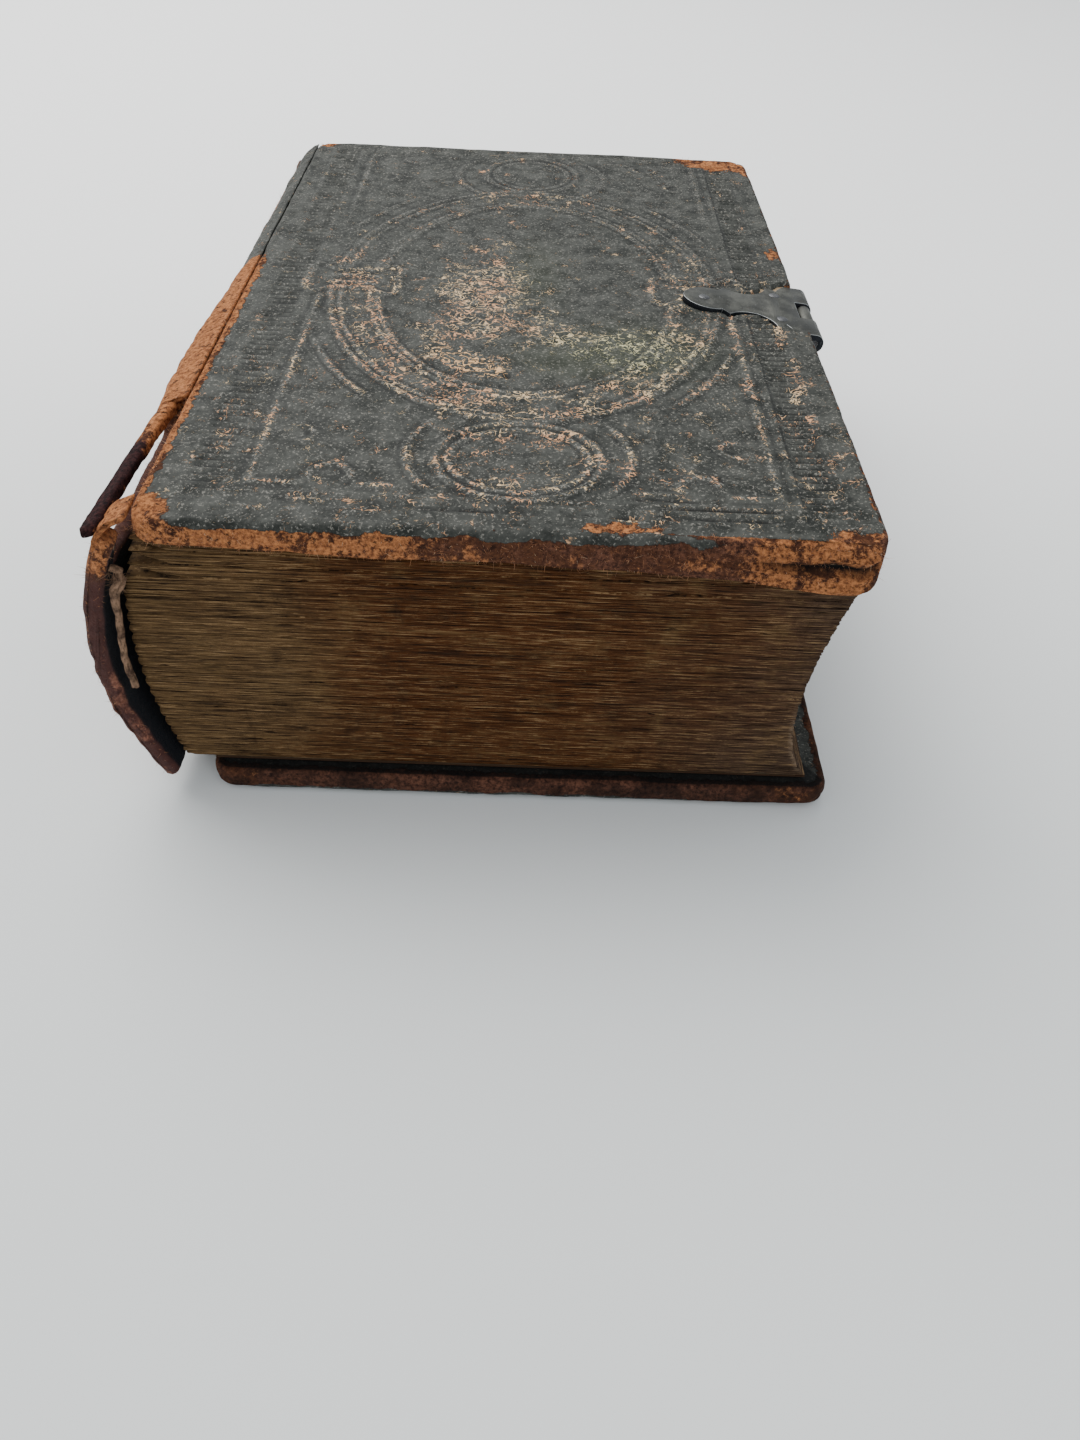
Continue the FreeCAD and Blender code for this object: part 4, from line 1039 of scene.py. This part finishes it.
# %% Curves, and room for the opened cover
def through(knots, count):
    """Curve through the knots: cubic spans whose slope at a knot is half the chord between its neighbours."""
    k = np.asarray(knots, float)
    k = np.concatenate([[2 * k[0] - k[1]], k, [2 * k[-1] - k[-2]]])
    t = np.linspace(0, len(k) - 3, count)
    i = np.minimum(t.astype(int), len(k) - 4)
    f = (t - i)[:, None]
    a, b, c, d = (k[i + n] for n in range(4))
    return b + f * ((c - a) / 2 + f * ((a - 2.5 * b + 2 * c - d / 2) + f * (3 * (b - c) + d - a) / 2))


SPINE_SWING = np.radians(20.5)


def swing_room(x):
    """Highest z that stays under the opened cover when the spine swings out as far as it can."""
    return HINGE[1] - 0.2 - np.tan(SPINE_SWING) * np.maximum(HINGE[0] - x, 0)


print("room 5 mm out from the hinge:", round(float(swing_room(HINGE[0] - 5.0)), 1), "mm up")

# %% Joint leather
STRAP_STEPS = 22
JOINT_PATHS = ([[-0.15, -0.35], [-1.7, -0.75], [-3.5, -2.5], [-5.3, -5.0], [-6.1, -7.2]],
               [[-0.15, -0.30], [-2.0, -0.85], [-4.0, -2.1], [-5.8, -4.4], [-6.4, -7.4]])


def joint_leather(name, y_low, y_high):
    """Ring of outer path, end, inner path and end, at each place along the joint. The path bulges out
    from a tight one at the head to a puffy one at the tail."""
    y = np.linspace(y_low, y_high, int((y_high - y_low) / 0.7) + 2)[:, None]
    tight, puffy = (through(HINGE + np.array(knots), STRAP_STEPS) for knots in JOINT_PATHS)
    path = tight + (puffy - tight) * (1 - ramp(y, -40, 40))[..., None]
    slope = np.gradient(path, axis=1)
    normal = np.stack([-slope[..., 1], slope[..., 0]], -1) / np.linalg.norm(slope, axis=2, keepdims=True)
    normal = normal * np.sign(normal[..., 1:])
    t = np.linspace(0, 1, STRAP_STEPS)
    thick = 1.25 * np.sqrt(np.clip(1 - (2 * t - 1) ** 8, 0.08, 1))
    order = np.concatenate([np.arange(STRAP_STEPS), np.arange(STRAP_STEPS)[::-1]])
    inside = np.repeat([0.0, 1.0], STRAP_STEPS)[None, :]
    thick, t = thick[order][None, :], t[order][None, :]
    from_end = np.minimum(y - y_low, y_high - y)
    shrink = 0.5 + 0.5 * ramp(from_end, -0.1, 1.0)
    lumps = 0.9 * uneven(y, t * 9, 5.0, 81, 4) + 0.5 * uneven(y * 1.6, t * 3, 1.7, 82, 3)
    lumps = lumps + 0.9 * blob(y, t, (-28, 0.7), (22, 0.5))
    out = (-thick * inside * shrink) + lumps * (1 - inside)
    base = path[:, order] + normal[:, order] * out[..., None]
    wander = 0.8 * uneven(t * 8, 0 * y, 3.0, 83, 3) * (1 - ramp(from_end, 0, 4))
    x = np.minimum(base[..., 0], HINGE[0] - 0.08)
    z = np.minimum(base[..., 1], swing_room(x))
    points = np.stack([x, y + wander, z], -1)
    worn_off = 1 - ramp(y + 4 * meander(y, 5, 84, 3), 6, 14)
    marks = leather_marks(x, wear=0.15, rub=0.15 + 0.85 * worn_off, grime=0.1 - 0.9 * worn_off)
    return make_tube(name, points, COVER_LEATHER, marks)


holding = joint_leather("joint_leather_main", SPINE_LOW[1] + 36.2, SPINE_HIGH[1] - 0.3)
corner = joint_leather("joint_leather_corner", SPINE_LOW[1] + 0.3, SPINE_LOW[1] + 6.4)
settle(holding, "spine_cover", ["upper_joint_leather"])
settle(corner, "spine_cover")

# %% Torn strap
def strap_finish():
    """Rubbed tan that turns dark brown where the dyed mark is high."""
    r = Recipe("torn_strap_finish", roughness=0.92, specular=0.12)
    tone, nap = rubbed_colour(r, 0.35)
    edge = r.plus(r.mark("dyed"), r.swing(r.noise(420, 5, rough=0.7), 0.8))
    dark = r.over((0.008, 0.004, 0.005), (0.060, 0.022, 0.021), nap, 0.35, 0.68)
    r.raise_by(nap, 0.4)
    return r.colour(r.over(tone, dark, edge, 0.42, 0.58))


def torn_strap():
    """Rounded flat ring carried along the strap's middle line; half width, thickness and lift vary."""
    knots = np.array([(-59.8, -43.5, 0.0), (-60.4, -48.0, -0.1), (-61.3, -53.5, -0.3), (-62.2, -65.5, -0.5),
                      (-63.0, -78.5, -0.7), (-63.4, -85.4, -0.9)])
    middle = through(knots + (0, 0, TOP - 2.4), 96)
    t = np.linspace(0, 1, len(middle))[:, None]
    turn = np.linspace(0, 2 * np.pi, STRAP_STEPS, endpoint=False)[None, :]
    half = 1.15 + 0.25 * (1 - ramp(t, 0.0, 0.28)) + 0.25 * uneven(t * 40, 0 * t, 4.0, 85, 4)
    tall = 1.05 + 0.3 * uneven(t * 40, 0 * t, 5.0, 86, 3)
    closing = np.sqrt(np.clip(1 - (2 * np.clip(t, 0.02, 0.995) - 1) ** 30, 0.05, 1))
    box = (np.abs(np.cos(turn)) ** 4 + np.abs(np.sin(turn)) ** 4) ** -0.25
    rough = 1 + 0.20 * (soft_noise(t * 60 + 0 * turn, turn * 3, 1.0, 87) - 0.5)
    x = middle[:, 0:1] + half * closing * box * rough * np.cos(turn)
    y = middle[:, 1:2] + 0.35 * half * np.cos(turn)
    z = np.minimum(middle[:, 2:3] + tall * closing * box * rough * np.sin(turn), swing_room(x))
    marks = {"dyed": ramp(t + 0 * turn, 0.45, 0.62) * (0.6 + 0.4 * np.clip(-np.cos(turn) + 1.0, 0, 1))}
    return make_tube("torn_strap", np.stack([x, y, z], -1), strap_finish(), marks)


settle(torn_strap(), "spine_cover", ["torn_spine_strip"])

# %% [markdown]
# ## Endband cores
# Under the silk of an endband lies a core of twisted paper or cord. At the tail the silk is gone and the
# core hangs loose in the hollow, frayed at its upper end. A twist is a ring whose radius has three soft
# lobes, and the lobes turn as the ring moves along its path.

# %% Twisted cores
def twist(path, radius, ply, pitch):
    """Rings round a path: radius times 1 less a dip between plies, turned by pitch along the length."""
    ahead = np.gradient(path, axis=0)
    steps = np.linalg.norm(ahead, axis=1, keepdims=True)
    ahead = ahead / steps
    side = np.array([0.0, 1.0, 0.0]) - ahead * ahead[:, 1:2]
    side = side / np.linalg.norm(side, axis=1, keepdims=True)
    other = np.cross(ahead, side)
    turn = np.linspace(0, 2 * np.pi, 24, endpoint=False)[None, :]
    twisted = turn - pitch * np.cumsum(steps)[:, None]
    wide = np.asarray(radius).reshape(-1, 1) * (0.62 + 0.38 * np.abs(np.cos(ply / 2 * twisted)) ** 0.6)
    return path[:, None, :] + wide[..., None] * (np.cos(turn)[..., None] * side[:, None, :]
                                                 + np.sin(turn)[..., None] * other[:, None, :])


def core_finish():
    """Beige fibres with dark gaps between fine upright threads."""
    r = Recipe("twisted_core", roughness=0.9, specular=0.2)
    tone = r.over((0.060, 0.034, 0.022), (0.33, 0.20, 0.125), r.noise(420, 5, rough=0.7), 0.32, 0.66)
    threads = r.noise(1.0, 5, r.stretch(2600, 2600, 420), rough=0.7)
    tone = r.over(tone, (0.040, 0.022, 0.014), threads, 0.48, 0.36, 0.8)
    r.raise_by(threads, 0.6)
    return r.colour(tone)


CORE_FINISH = core_finish()


def twisted_core(name, knots, radii, pitch):
    """A twist along the curve through the knots, its radius read from a short list and roughened."""
    path = through(knots, 90)
    t = np.linspace(0, 1, len(path))
    radius = np.interp(t, np.linspace(0, 1, len(radii)), radii) * (1 + 0.30 * meander(t * 30, 3, 12, 3))
    return make_tube(name, twist(path, radius, 3, pitch), CORE_FINISH)


HANGING_KNOTS = [(-60.9, -84.2, 46.9), (-61.3, -84.5, 45.0), (-62.5, -84.6, 42.6), (-62.9, -84.6, 38.5),
                 (-63.5, -84.7, 34.0), (-63.9, -84.8, 29.5), (-63.7, -84.6, 23.9)]
HANGING_RADII = [0.55, 1.05, 0.80, 0.62, 0.62, 0.66, 0.72]
STUB_KNOTS = [(-62.0, -84.6, 47.9), (-61.4, -84.4, 47.5), (-60.6, -84.0, 46.8)]
hanging = twisted_core("tail_endband_twist", HANGING_KNOTS, HANGING_RADII, 0.62)
settle(hanging, "text_block", ["tail_endband_core"])
stub = twisted_core("tail_endband_stub", STUB_KNOTS, [0.55, 0.7, 0.6], 0.9)
settle(stub, "text_block")
head_low, head_high = span("head_endband_core")
middle_y = (head_low[1] + head_high[1]) / 2
heights = np.linspace(head_low[2] + 1.2, head_high[2] - 1.2, 9)
head_path = np.column_stack([back_line(heights) - 0.75, np.full(9, middle_y), heights])
head_core = twisted_core("head_endband_twist", head_path, [0.8, 0.85, 0.8], 1.7)
settle(head_core, "text_block", ["head_endband_core"])

# %% [markdown]
# ## Pastedowns and flyleaves
# The leaves that join the block to its covers are single sheets with a slight wave. Each is a closed slab:
# one ring of points goes across the top face, round the edge and back across the bottom face, and the
# ring is repeated along the page. The first and last rings are shut with a lid.

# %% Single sheets
def paper_sheet(node, wave, finish, seed):
    """Ring of top and bottom faces at each place along the page, with a wave added to both."""
    low, high = span(node)
    share = np.linspace(0, 1, 60)
    x = np.concatenate([share, share[::-1]])[None, :] * (high[0] - low[0]) + low[0]
    face = np.repeat([high[2] - wave, low[2] + wave], len(share))[None, :]
    y = np.linspace(low[1], high[1], 90)[:, None]
    lift = wave * 2 * uneven(x + 0 * y, y + 0 * x, 45, seed, 3)
    near_fore = np.concatenate([ramp(share, 0.9, 1)] * 2)[None, :]
    edge = 0.5 * uneven(x * 0 + y, 0 * x, 6, seed + 1, 3) * near_fore
    points = np.stack([x + edge - 0.25 * np.abs(edge), y + 0 * x, face + lift], -1)
    from_sides = np.minimum(x - low[0], high[0] - x)
    from_ends = np.minimum(y - low[1], high[1] - y)
    stain = 1 - ramp(np.minimum(from_sides, from_ends), 0.3, 2.5)
    return make_tube(node + "_sheet", points, finish, {"stain": stain})


SHEETS = (
    ("front_flyleaf", "front_leaf", 0.05, PAPER, "flyleaf_paper"),
    ("rear_flyleaf", "rear_leaf", 0.05, PAPER, "flyleaf_paper"),
    ("upper_pastedown", "upper_cover", 0.02, PASTE_PAPER, "pastedown_paper"),
    ("lower_pastedown", "lower_cover", 0.02, PASTE_PAPER, "pastedown_paper"),
)
for node, body, wave, finish, slot in SHEETS:
    sheet = paper_sheet(node, wave, finish, len(node))
    sheet.data.shade_flat()
    settle(sheet, body, [node])

# %% [markdown]
# ## Steel of the clasp
# The clasp is cast or filed steel, dark with age. Its solids already have the right shape, but their
# edges are knife sharp, and a sharp edge catches no light. A copy of each solid has its loose triangles
# merged, flat faces joined and its edges rounded by a Bevel modifier. On the two plates the bevel has a
# brighter steel of its own, partly where hands keep the edge clean and partly a painted highlight, and
# the upright faces are nearly black with painted shade.

# %% Dark steel
def steel_finish(name, dark, light, rough=0.46):
    """Cloudy dark steel with a few bright scratches, specks of rust and shallow pits."""
    r = Recipe(name, roughness=rough, metal=0.75, specular=0.5)
    clouds = r.noise(210, 5, rough=0.7)
    tone = r.over(dark, light, clouds, 0.35, 0.68)
    scratch = r.noise(1.0, 3, r.stretch(3600, 500, 900), rough=0.7)
    tone = r.over(tone, (0.30, 0.31, 0.32), scratch, 0.63, 0.75, 0.5)
    rust = r.spread(r.noise(520, 5, rough=0.75), 0.62, 0.72, 0.0, 0.6)
    tone = r.blend(rust, tone, (0.070, 0.032, 0.020))
    pits = r.spread(r.cells(1500), 0.25, 0.05)
    r.raise_by(r.times(pits, -1.0), 0.05)
    r.raise_by(clouds, 0.12)
    return r.colour(tone, r.spread(clouds, 0.3, 0.7, rough - 0.08, rough + 0.14))


CLASP_STEEL = steel_finish("dark_clasp_steel", (0.050, 0.051, 0.045), (0.118, 0.119, 0.106))
RIVET_STEEL = steel_finish("rivet_steel_finish", (0.075, 0.077, 0.080), (0.16, 0.16, 0.165), 0.4)
# painted shade for the plates' upright faces; painted highlight, with real edge wear, for their bevels
SHADED_SIDE_STEEL = steel_finish("shaded_side_steel", (0.010, 0.012, 0.016), (0.024, 0.027, 0.032), 0.55)
WORN_AND_HIGHLIGHT_EDGE = steel_finish("worn_and_highlight_edge_steel", (0.22, 0.23, 0.23), (0.42, 0.43, 0.42), 0.40)
PIN_STEEL = steel_finish("pin_steel_finish", (0.040, 0.040, 0.043), (0.090, 0.088, 0.088), 0.5)


MERGE_DISTANCE, FLAT_ANGLE, SHARP_ANGLE = 1e-6, np.radians(1.0), np.radians(35)


def rounded_copy(node, finish, width, body):
    """Merged copy of a solid with a Bevel modifier on every sharp edge. On a plate the upright faces
    take the second material, near black with painted shade, and the bevels the third, bright steel
    that is partly wear and partly painted highlight."""
    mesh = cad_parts[node].data.copy()
    work = bmesh.new()
    work.from_mesh(mesh)
    bmesh.ops.remove_doubles(work, verts=work.verts, dist=MERGE_DISTANCE)
    bmesh.ops.dissolve_limit(work, angle_limit=FLAT_ANGLE, verts=work.verts, edges=work.edges)
    for face in work.faces:
        face.smooth = True
    work.to_mesh(mesh)
    work.free()
    mesh.materials.clear()
    for steel in (finish, SHADED_SIDE_STEEL, WORN_AND_HIGHLIGHT_EDGE):
        mesh.materials.append(steel)
    plate = node.endswith("_plate")
    for face in mesh.polygons:
        # a plate's upright faces take the painted-shade steel
        face.material_index = int(plate and abs(face.normal.z) < 0.5)
    piece = bpy.data.objects.new(node + "_rounded", mesh)
    bpy.context.scene.collection.objects.link(piece)
    bevel = piece.modifiers.new("edges", "BEVEL")
    bevel.width, bevel.segments, bevel.limit_method = width / MM, 2, "ANGLE"
    bevel.angle_limit = SHARP_ANGLE
    bevel.harden_normals = True
    bevel.material = 2 if plate else 0
    print(piece.name, len(mesh.polygons), "faces")
    return settle(piece, body, [node])


CLASP_PARTS = (
    ("hinge_plate", CLASP_STEEL, 0.16, "upper_cover", "clasp_steel"),
    ("catch_plate", CLASP_STEEL, 0.16, "lower_cover", "clasp_steel"),
    ("clasp_hasp", CLASP_STEEL, 0.12, "hasp", "clasp_steel"),
    ("hinge_plate_rivets", RIVET_STEEL, 0.09, "upper_cover", "rivet_steel"),
    ("catch_plate_rivets", RIVET_STEEL, 0.09, "lower_cover", "rivet_steel"),
    ("hasp_hinge_pin", PIN_STEEL, 0.10, "upper_cover", "pin_steel"),
    ("catch_bar", PIN_STEEL, 0.10, "lower_cover", "pin_steel"),
)
for node, finish, width, body, slot in CLASP_PARTS:
    rounded_copy(node, finish, width, body)

# %% [markdown]
# ## What stays as it was built
# Boards, cords, stitches and the cloth lining keep their solids, because their shapes are right and little
# of them shows. They only need a finish: layered board, twisted linen and open-woven cloth. The weave is
# two sets of waves, one along the back and one up it.

# %% Finishes for the solids that stay
def fibre_finish(name, dark, light, grain, depth):
    """Light and dark lines of stretched noise, with a bump of the same lines."""
    r = Recipe(name, roughness=0.92, specular=0.15)
    lines = r.noise(1.0, 4, r.stretch(*grain), rough=0.7)
    tone = r.over(dark, light, lines, 0.33, 0.66)
    r.raise_by(lines, depth)
    return r.colour(tone)


THREAD_PITCH = 0.0009


def woven_finish():
    """Product of a wave along y and a wave along z, which gives a square weave."""
    r = Recipe("open_weave", roughness=0.93, specular=0.12)
    waves = []
    for axis in "YZ":
        place = r.add("ShaderNodeSeparateXYZ", {0: r.place}).outputs[axis]
        waves.append(r.sums("SINE", r.times(place, 2 * np.pi / THREAD_PITCH)))
    weave = r.times(waves[0], waves[1])
    tone = r.over((0.10, 0.075, 0.050), (0.34, 0.27, 0.185), weave, -0.6, 0.7)
    r.raise_by(weave, 0.12)
    return r.colour(tone)


BOARD_TONES = (0.20, 0.13, 0.075), (0.48, 0.36, 0.23)
CORD_TONES = (0.26, 0.19, 0.12), (0.66, 0.55, 0.40)
STAYING = (
    (fibre_finish("layered_board", *BOARD_TONES, (150, 150, 2600), 0.1), ("upper_board", "lower_board")),
    (fibre_finish("linen_cord_finish", *CORD_TONES, (1600, 1600, 900), 0.15),
     ("sewing_cords", "kettle_stitches")),
    (woven_finish(), ("spine_lining",)),
)
for finish, nodes in STAYING:
    for node in nodes:
        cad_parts[node].data.materials.clear()
        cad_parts[node].data.materials.append(finish)
print("finished the boards, cords, stitches and lining")

# %% [markdown]
# ## Loose fibres
# Rubbed suede bristles. Without fibres its outline looks cut with a knife, so a few thousand short tapered
# hairs stand on the bare edges, and pale threads fan out where the tail core has frayed. A hair is four
# triangles of points along a bent line. All hairs of one place are a single mesh, worked out as one array,
# with a mark that gives each hair its own shade.

# %% Hairs
def hair_finish():
    """Brown to tan by each hair's own shade, with a few pale ones."""
    r = Recipe("loose_fibres", roughness=0.9, sheen=0.2, specular=0.2)
    shade = r.mark("shade")
    tone = r.blend(shade, (0.115, 0.040, 0.020), (0.62, 0.26, 0.10))
    return r.colour(r.over(tone, (0.66, 0.46, 0.28), shade, 0.90, 0.98))


HAIR = hair_finish()


def hairs(name, roots, way, length, width, seed, body, finish=HAIR):
    """Four rings of three points per hair: root + way * s + bend * s^2, with the width falling to a tip."""
    random = np.random.default_rng(seed)
    count = len(roots)
    way = way + random.normal(0, 0.55, (count, 3))
    way = way / np.linalg.norm(way, axis=1, keepdims=True)
    bend = random.normal(0, 0.55, (count, 3))
    long = random.uniform(0.35, 1.0, count) ** 1.5 * length
    s = np.linspace(0, 1, 4)[None, :, None]
    line = roots[:, None, :] + long[:, None, None] * (way[:, None, :] * s + bend[:, None, :] * s * s)
    side = np.cross(way, random.normal(0, 1, (count, 3)))
    side = side / np.linalg.norm(side, axis=1, keepdims=True)
    other = np.cross(way, side)
    turn = np.arange(3) * 2 * np.pi / 3
    circle = side[:, None, :] * np.cos(turn)[None, :, None] + other[:, None, :] * np.sin(turn)[None, :, None]
    thick = width * np.array([1.0, 0.8, 0.5, 0.12])[None, :, None, None]
    points = (line[:, :, None, :] + circle[:, None, :, :] * thick).reshape(-1, 3)
    points[:, 2] = np.maximum(points[:, 2], 0.05)
    one = squares(4, 3, ring=True)
    quads = (one[None, :, :] + 12 * np.arange(count)[:, None, None]).reshape(-1, 4)
    lids = [lid + 12 * n for n in range(count) for lid in end_lids(4, 3)]
    shade = np.repeat(random.random(count), 12)
    piece = make_piece(name, points, quads, finish, lids, {"shade": shade})
    return settle(piece, body)


def surface_places(piece, mark, least, count, seed):
    """Random vertices of a piece where a mark is over a level, with their normals, in millimetres."""
    mesh = piece.data
    flat = np.empty(len(mesh.vertices) * 3, np.float32)
    mesh.vertices.foreach_get("co", flat)
    place = flat.reshape(-1, 3) * MM
    facing = np.empty_like(flat)
    mesh.vertex_normals.foreach_get("vector", facing)
    normal = facing.reshape(-1, 3)
    value = np.empty(len(mesh.vertices), np.float32)
    mesh.attributes[mark].data.foreach_get("value", value)
    allowed = np.flatnonzero(value > least)
    chosen = np.random.default_rng(seed).choice(allowed, count)
    return place[chosen], normal[chosen]


place, normal = surface_places(upper_cover, "rub", 0.55, 5200, 3)
shown = (place[:, 1] < LOWER_LOW[1] + 3.5) | (place[:, 0] < HINGE[0] + 3.0)
near = shown | (np.random.default_rng(4).random(len(place)) < 0.15)
near = near & (place[:, 2] > TOP - THICK - 2.5)
roots = place[near] - 0.1 * normal[near]
hairs("upper_cover_fibres", roots, normal[near], 0.85, 0.035, 5, "upper_cover")
spine_shell = bpy.data.objects["spine_cover_leather"]
place, normal = surface_places(spine_shell, "bare", 0.35, 1500, 6)
hairs("spine_cover_fibres", place - 0.1 * normal, normal, 0.9, 0.035, 7, "spine_cover")

# %% Frayed ends of the tail core
def frayed(name, place, way, count, length, seed):
    """Pale threads that fan out from about one place."""
    random = np.random.default_rng(seed)
    roots = np.array(place) + random.normal(0, 1, (count, 3)) * (0.35, 0.3, 0.5)
    ways = np.tile(np.array(way), (count, 1))
    return hairs(name, roots, ways, length, 0.075, seed, "text_block", CORE_FINISH)


frayed("tail_core_fray", (-61.3, -84.6, 45.2), (0.1, -0.9, 0.7), 90, 1.7, 8)
frayed("tail_stub_fray", (-62.3, -84.6, 47.6), (-0.9, -0.5, -0.1), 60, 1.6, 9)

# %% [markdown]
# ## Table, light and camera
# The book lies on a pale table in soft light from a large window above and behind it. One broad area
# light stands for the window, a dim one fills the near side, and the world adds an even pale glow. The
# table's far part is lighter and glows faintly, as painted light. The camera stands a little above and
# close to the book, so its near edge looks wide.

# %% Table
FAR_GLOW = 0.15


def table_finish():
    """Pale table with painted light: lighter and faintly glowing away from the camera."""
    r = Recipe("pale_table", roughness=0.85, specular=0.25)
    # painted light: the far part of the table is lighter and glows faintly
    far = r.spread(r.add("ShaderNodeSeparateXYZ", {0: r.place}).outputs["Y"], -0.12, 0.16)
    r.join(r.blend(far, (0.0, 0.0, 0.0), (1.0, 1.0, 1.0)), r.shader.inputs["Emission Color"])
    r.shader.inputs["Emission Strength"].default_value = FAR_GLOW
    return r.colour(r.blend(far, (0.77, 0.79, 0.785), (0.93, 0.935, 0.93)))


reach = 1400.0
corners = np.array([[-reach, -reach, 0], [reach, -reach, 0], [reach, reach, 0], [-reach, reach, 0]])
table = make_piece("table_top", corners, np.array([[0, 1, 2, 3]]), table_finish())

# %% Lights and world
def area_light(name, place, target, size, power, tint=(1, 1, 1)):
    """Square light at place that faces target; both in millimetres."""
    light = bpy.data.lights.new(name, "AREA")
    light.shape, light.size, light.energy, light.color = "SQUARE", size, power, tint
    lamp = bpy.data.objects.new(name, light)
    bpy.context.scene.collection.objects.link(lamp)
    place, target = np.array(place) / MM, np.array(target) / MM
    away = place - target
    lamp.location = place
    lamp.rotation_euler = Vector(away).to_track_quat("Z", "Y").to_euler()
    return lamp


area_light("window", (-420, 430, 900), (0, 20, 20), 1.0, 17.0, (1.0, 0.985, 0.96))
area_light("near_fill", (200, -900, 620), (0, -60, 10), 1.1, 3.5, (0.95, 0.98, 1.0))
world = bpy.data.worlds.new("pale_room")
world.use_nodes = True
world.node_tree.nodes["Background"].inputs["Color"].default_value = (0.80, 0.84, 0.88, 1)
world.node_tree.nodes["Background"].inputs["Strength"].default_value = 0.76
bpy.context.scene.world = world

# %% Camera
def look(eye, down, turn, roll, lens):
    """Camera at eye in millimetres, pitched down, turned to the right and rolled, all in degrees."""
    d, t, k = np.radians([down, turn, roll])
    ahead = np.array([np.sin(t) * np.cos(d), np.cos(t) * np.cos(d), -np.sin(d)])
    right = np.array([np.cos(t), -np.sin(t), 0.0])
    above = np.cross(right, ahead)
    side, top = np.cos(k) * right + np.sin(k) * above, -np.sin(k) * right + np.cos(k) * above
    camera = bpy.data.cameras.new("viewer")
    camera.lens, camera.sensor_width, camera.sensor_fit = lens, 36.0, "AUTO"
    camera.clip_start, camera.clip_end = 0.005, 20.0
    seat = bpy.data.objects.new("viewer", camera)
    bpy.context.scene.collection.objects.link(seat)
    seat.matrix_world = Matrix([[side[i], top[i], -ahead[i], eye[i] / MM] for i in range(3)] + [[0, 0, 0, 1]])
    bpy.context.scene.camera = seat
    return seat


look((-0.36, -208.65, 142.3), 44.74, 1.417, 3.005, 26.0)
print("camera lens:", bpy.context.scene.camera.data.lens, "mm")
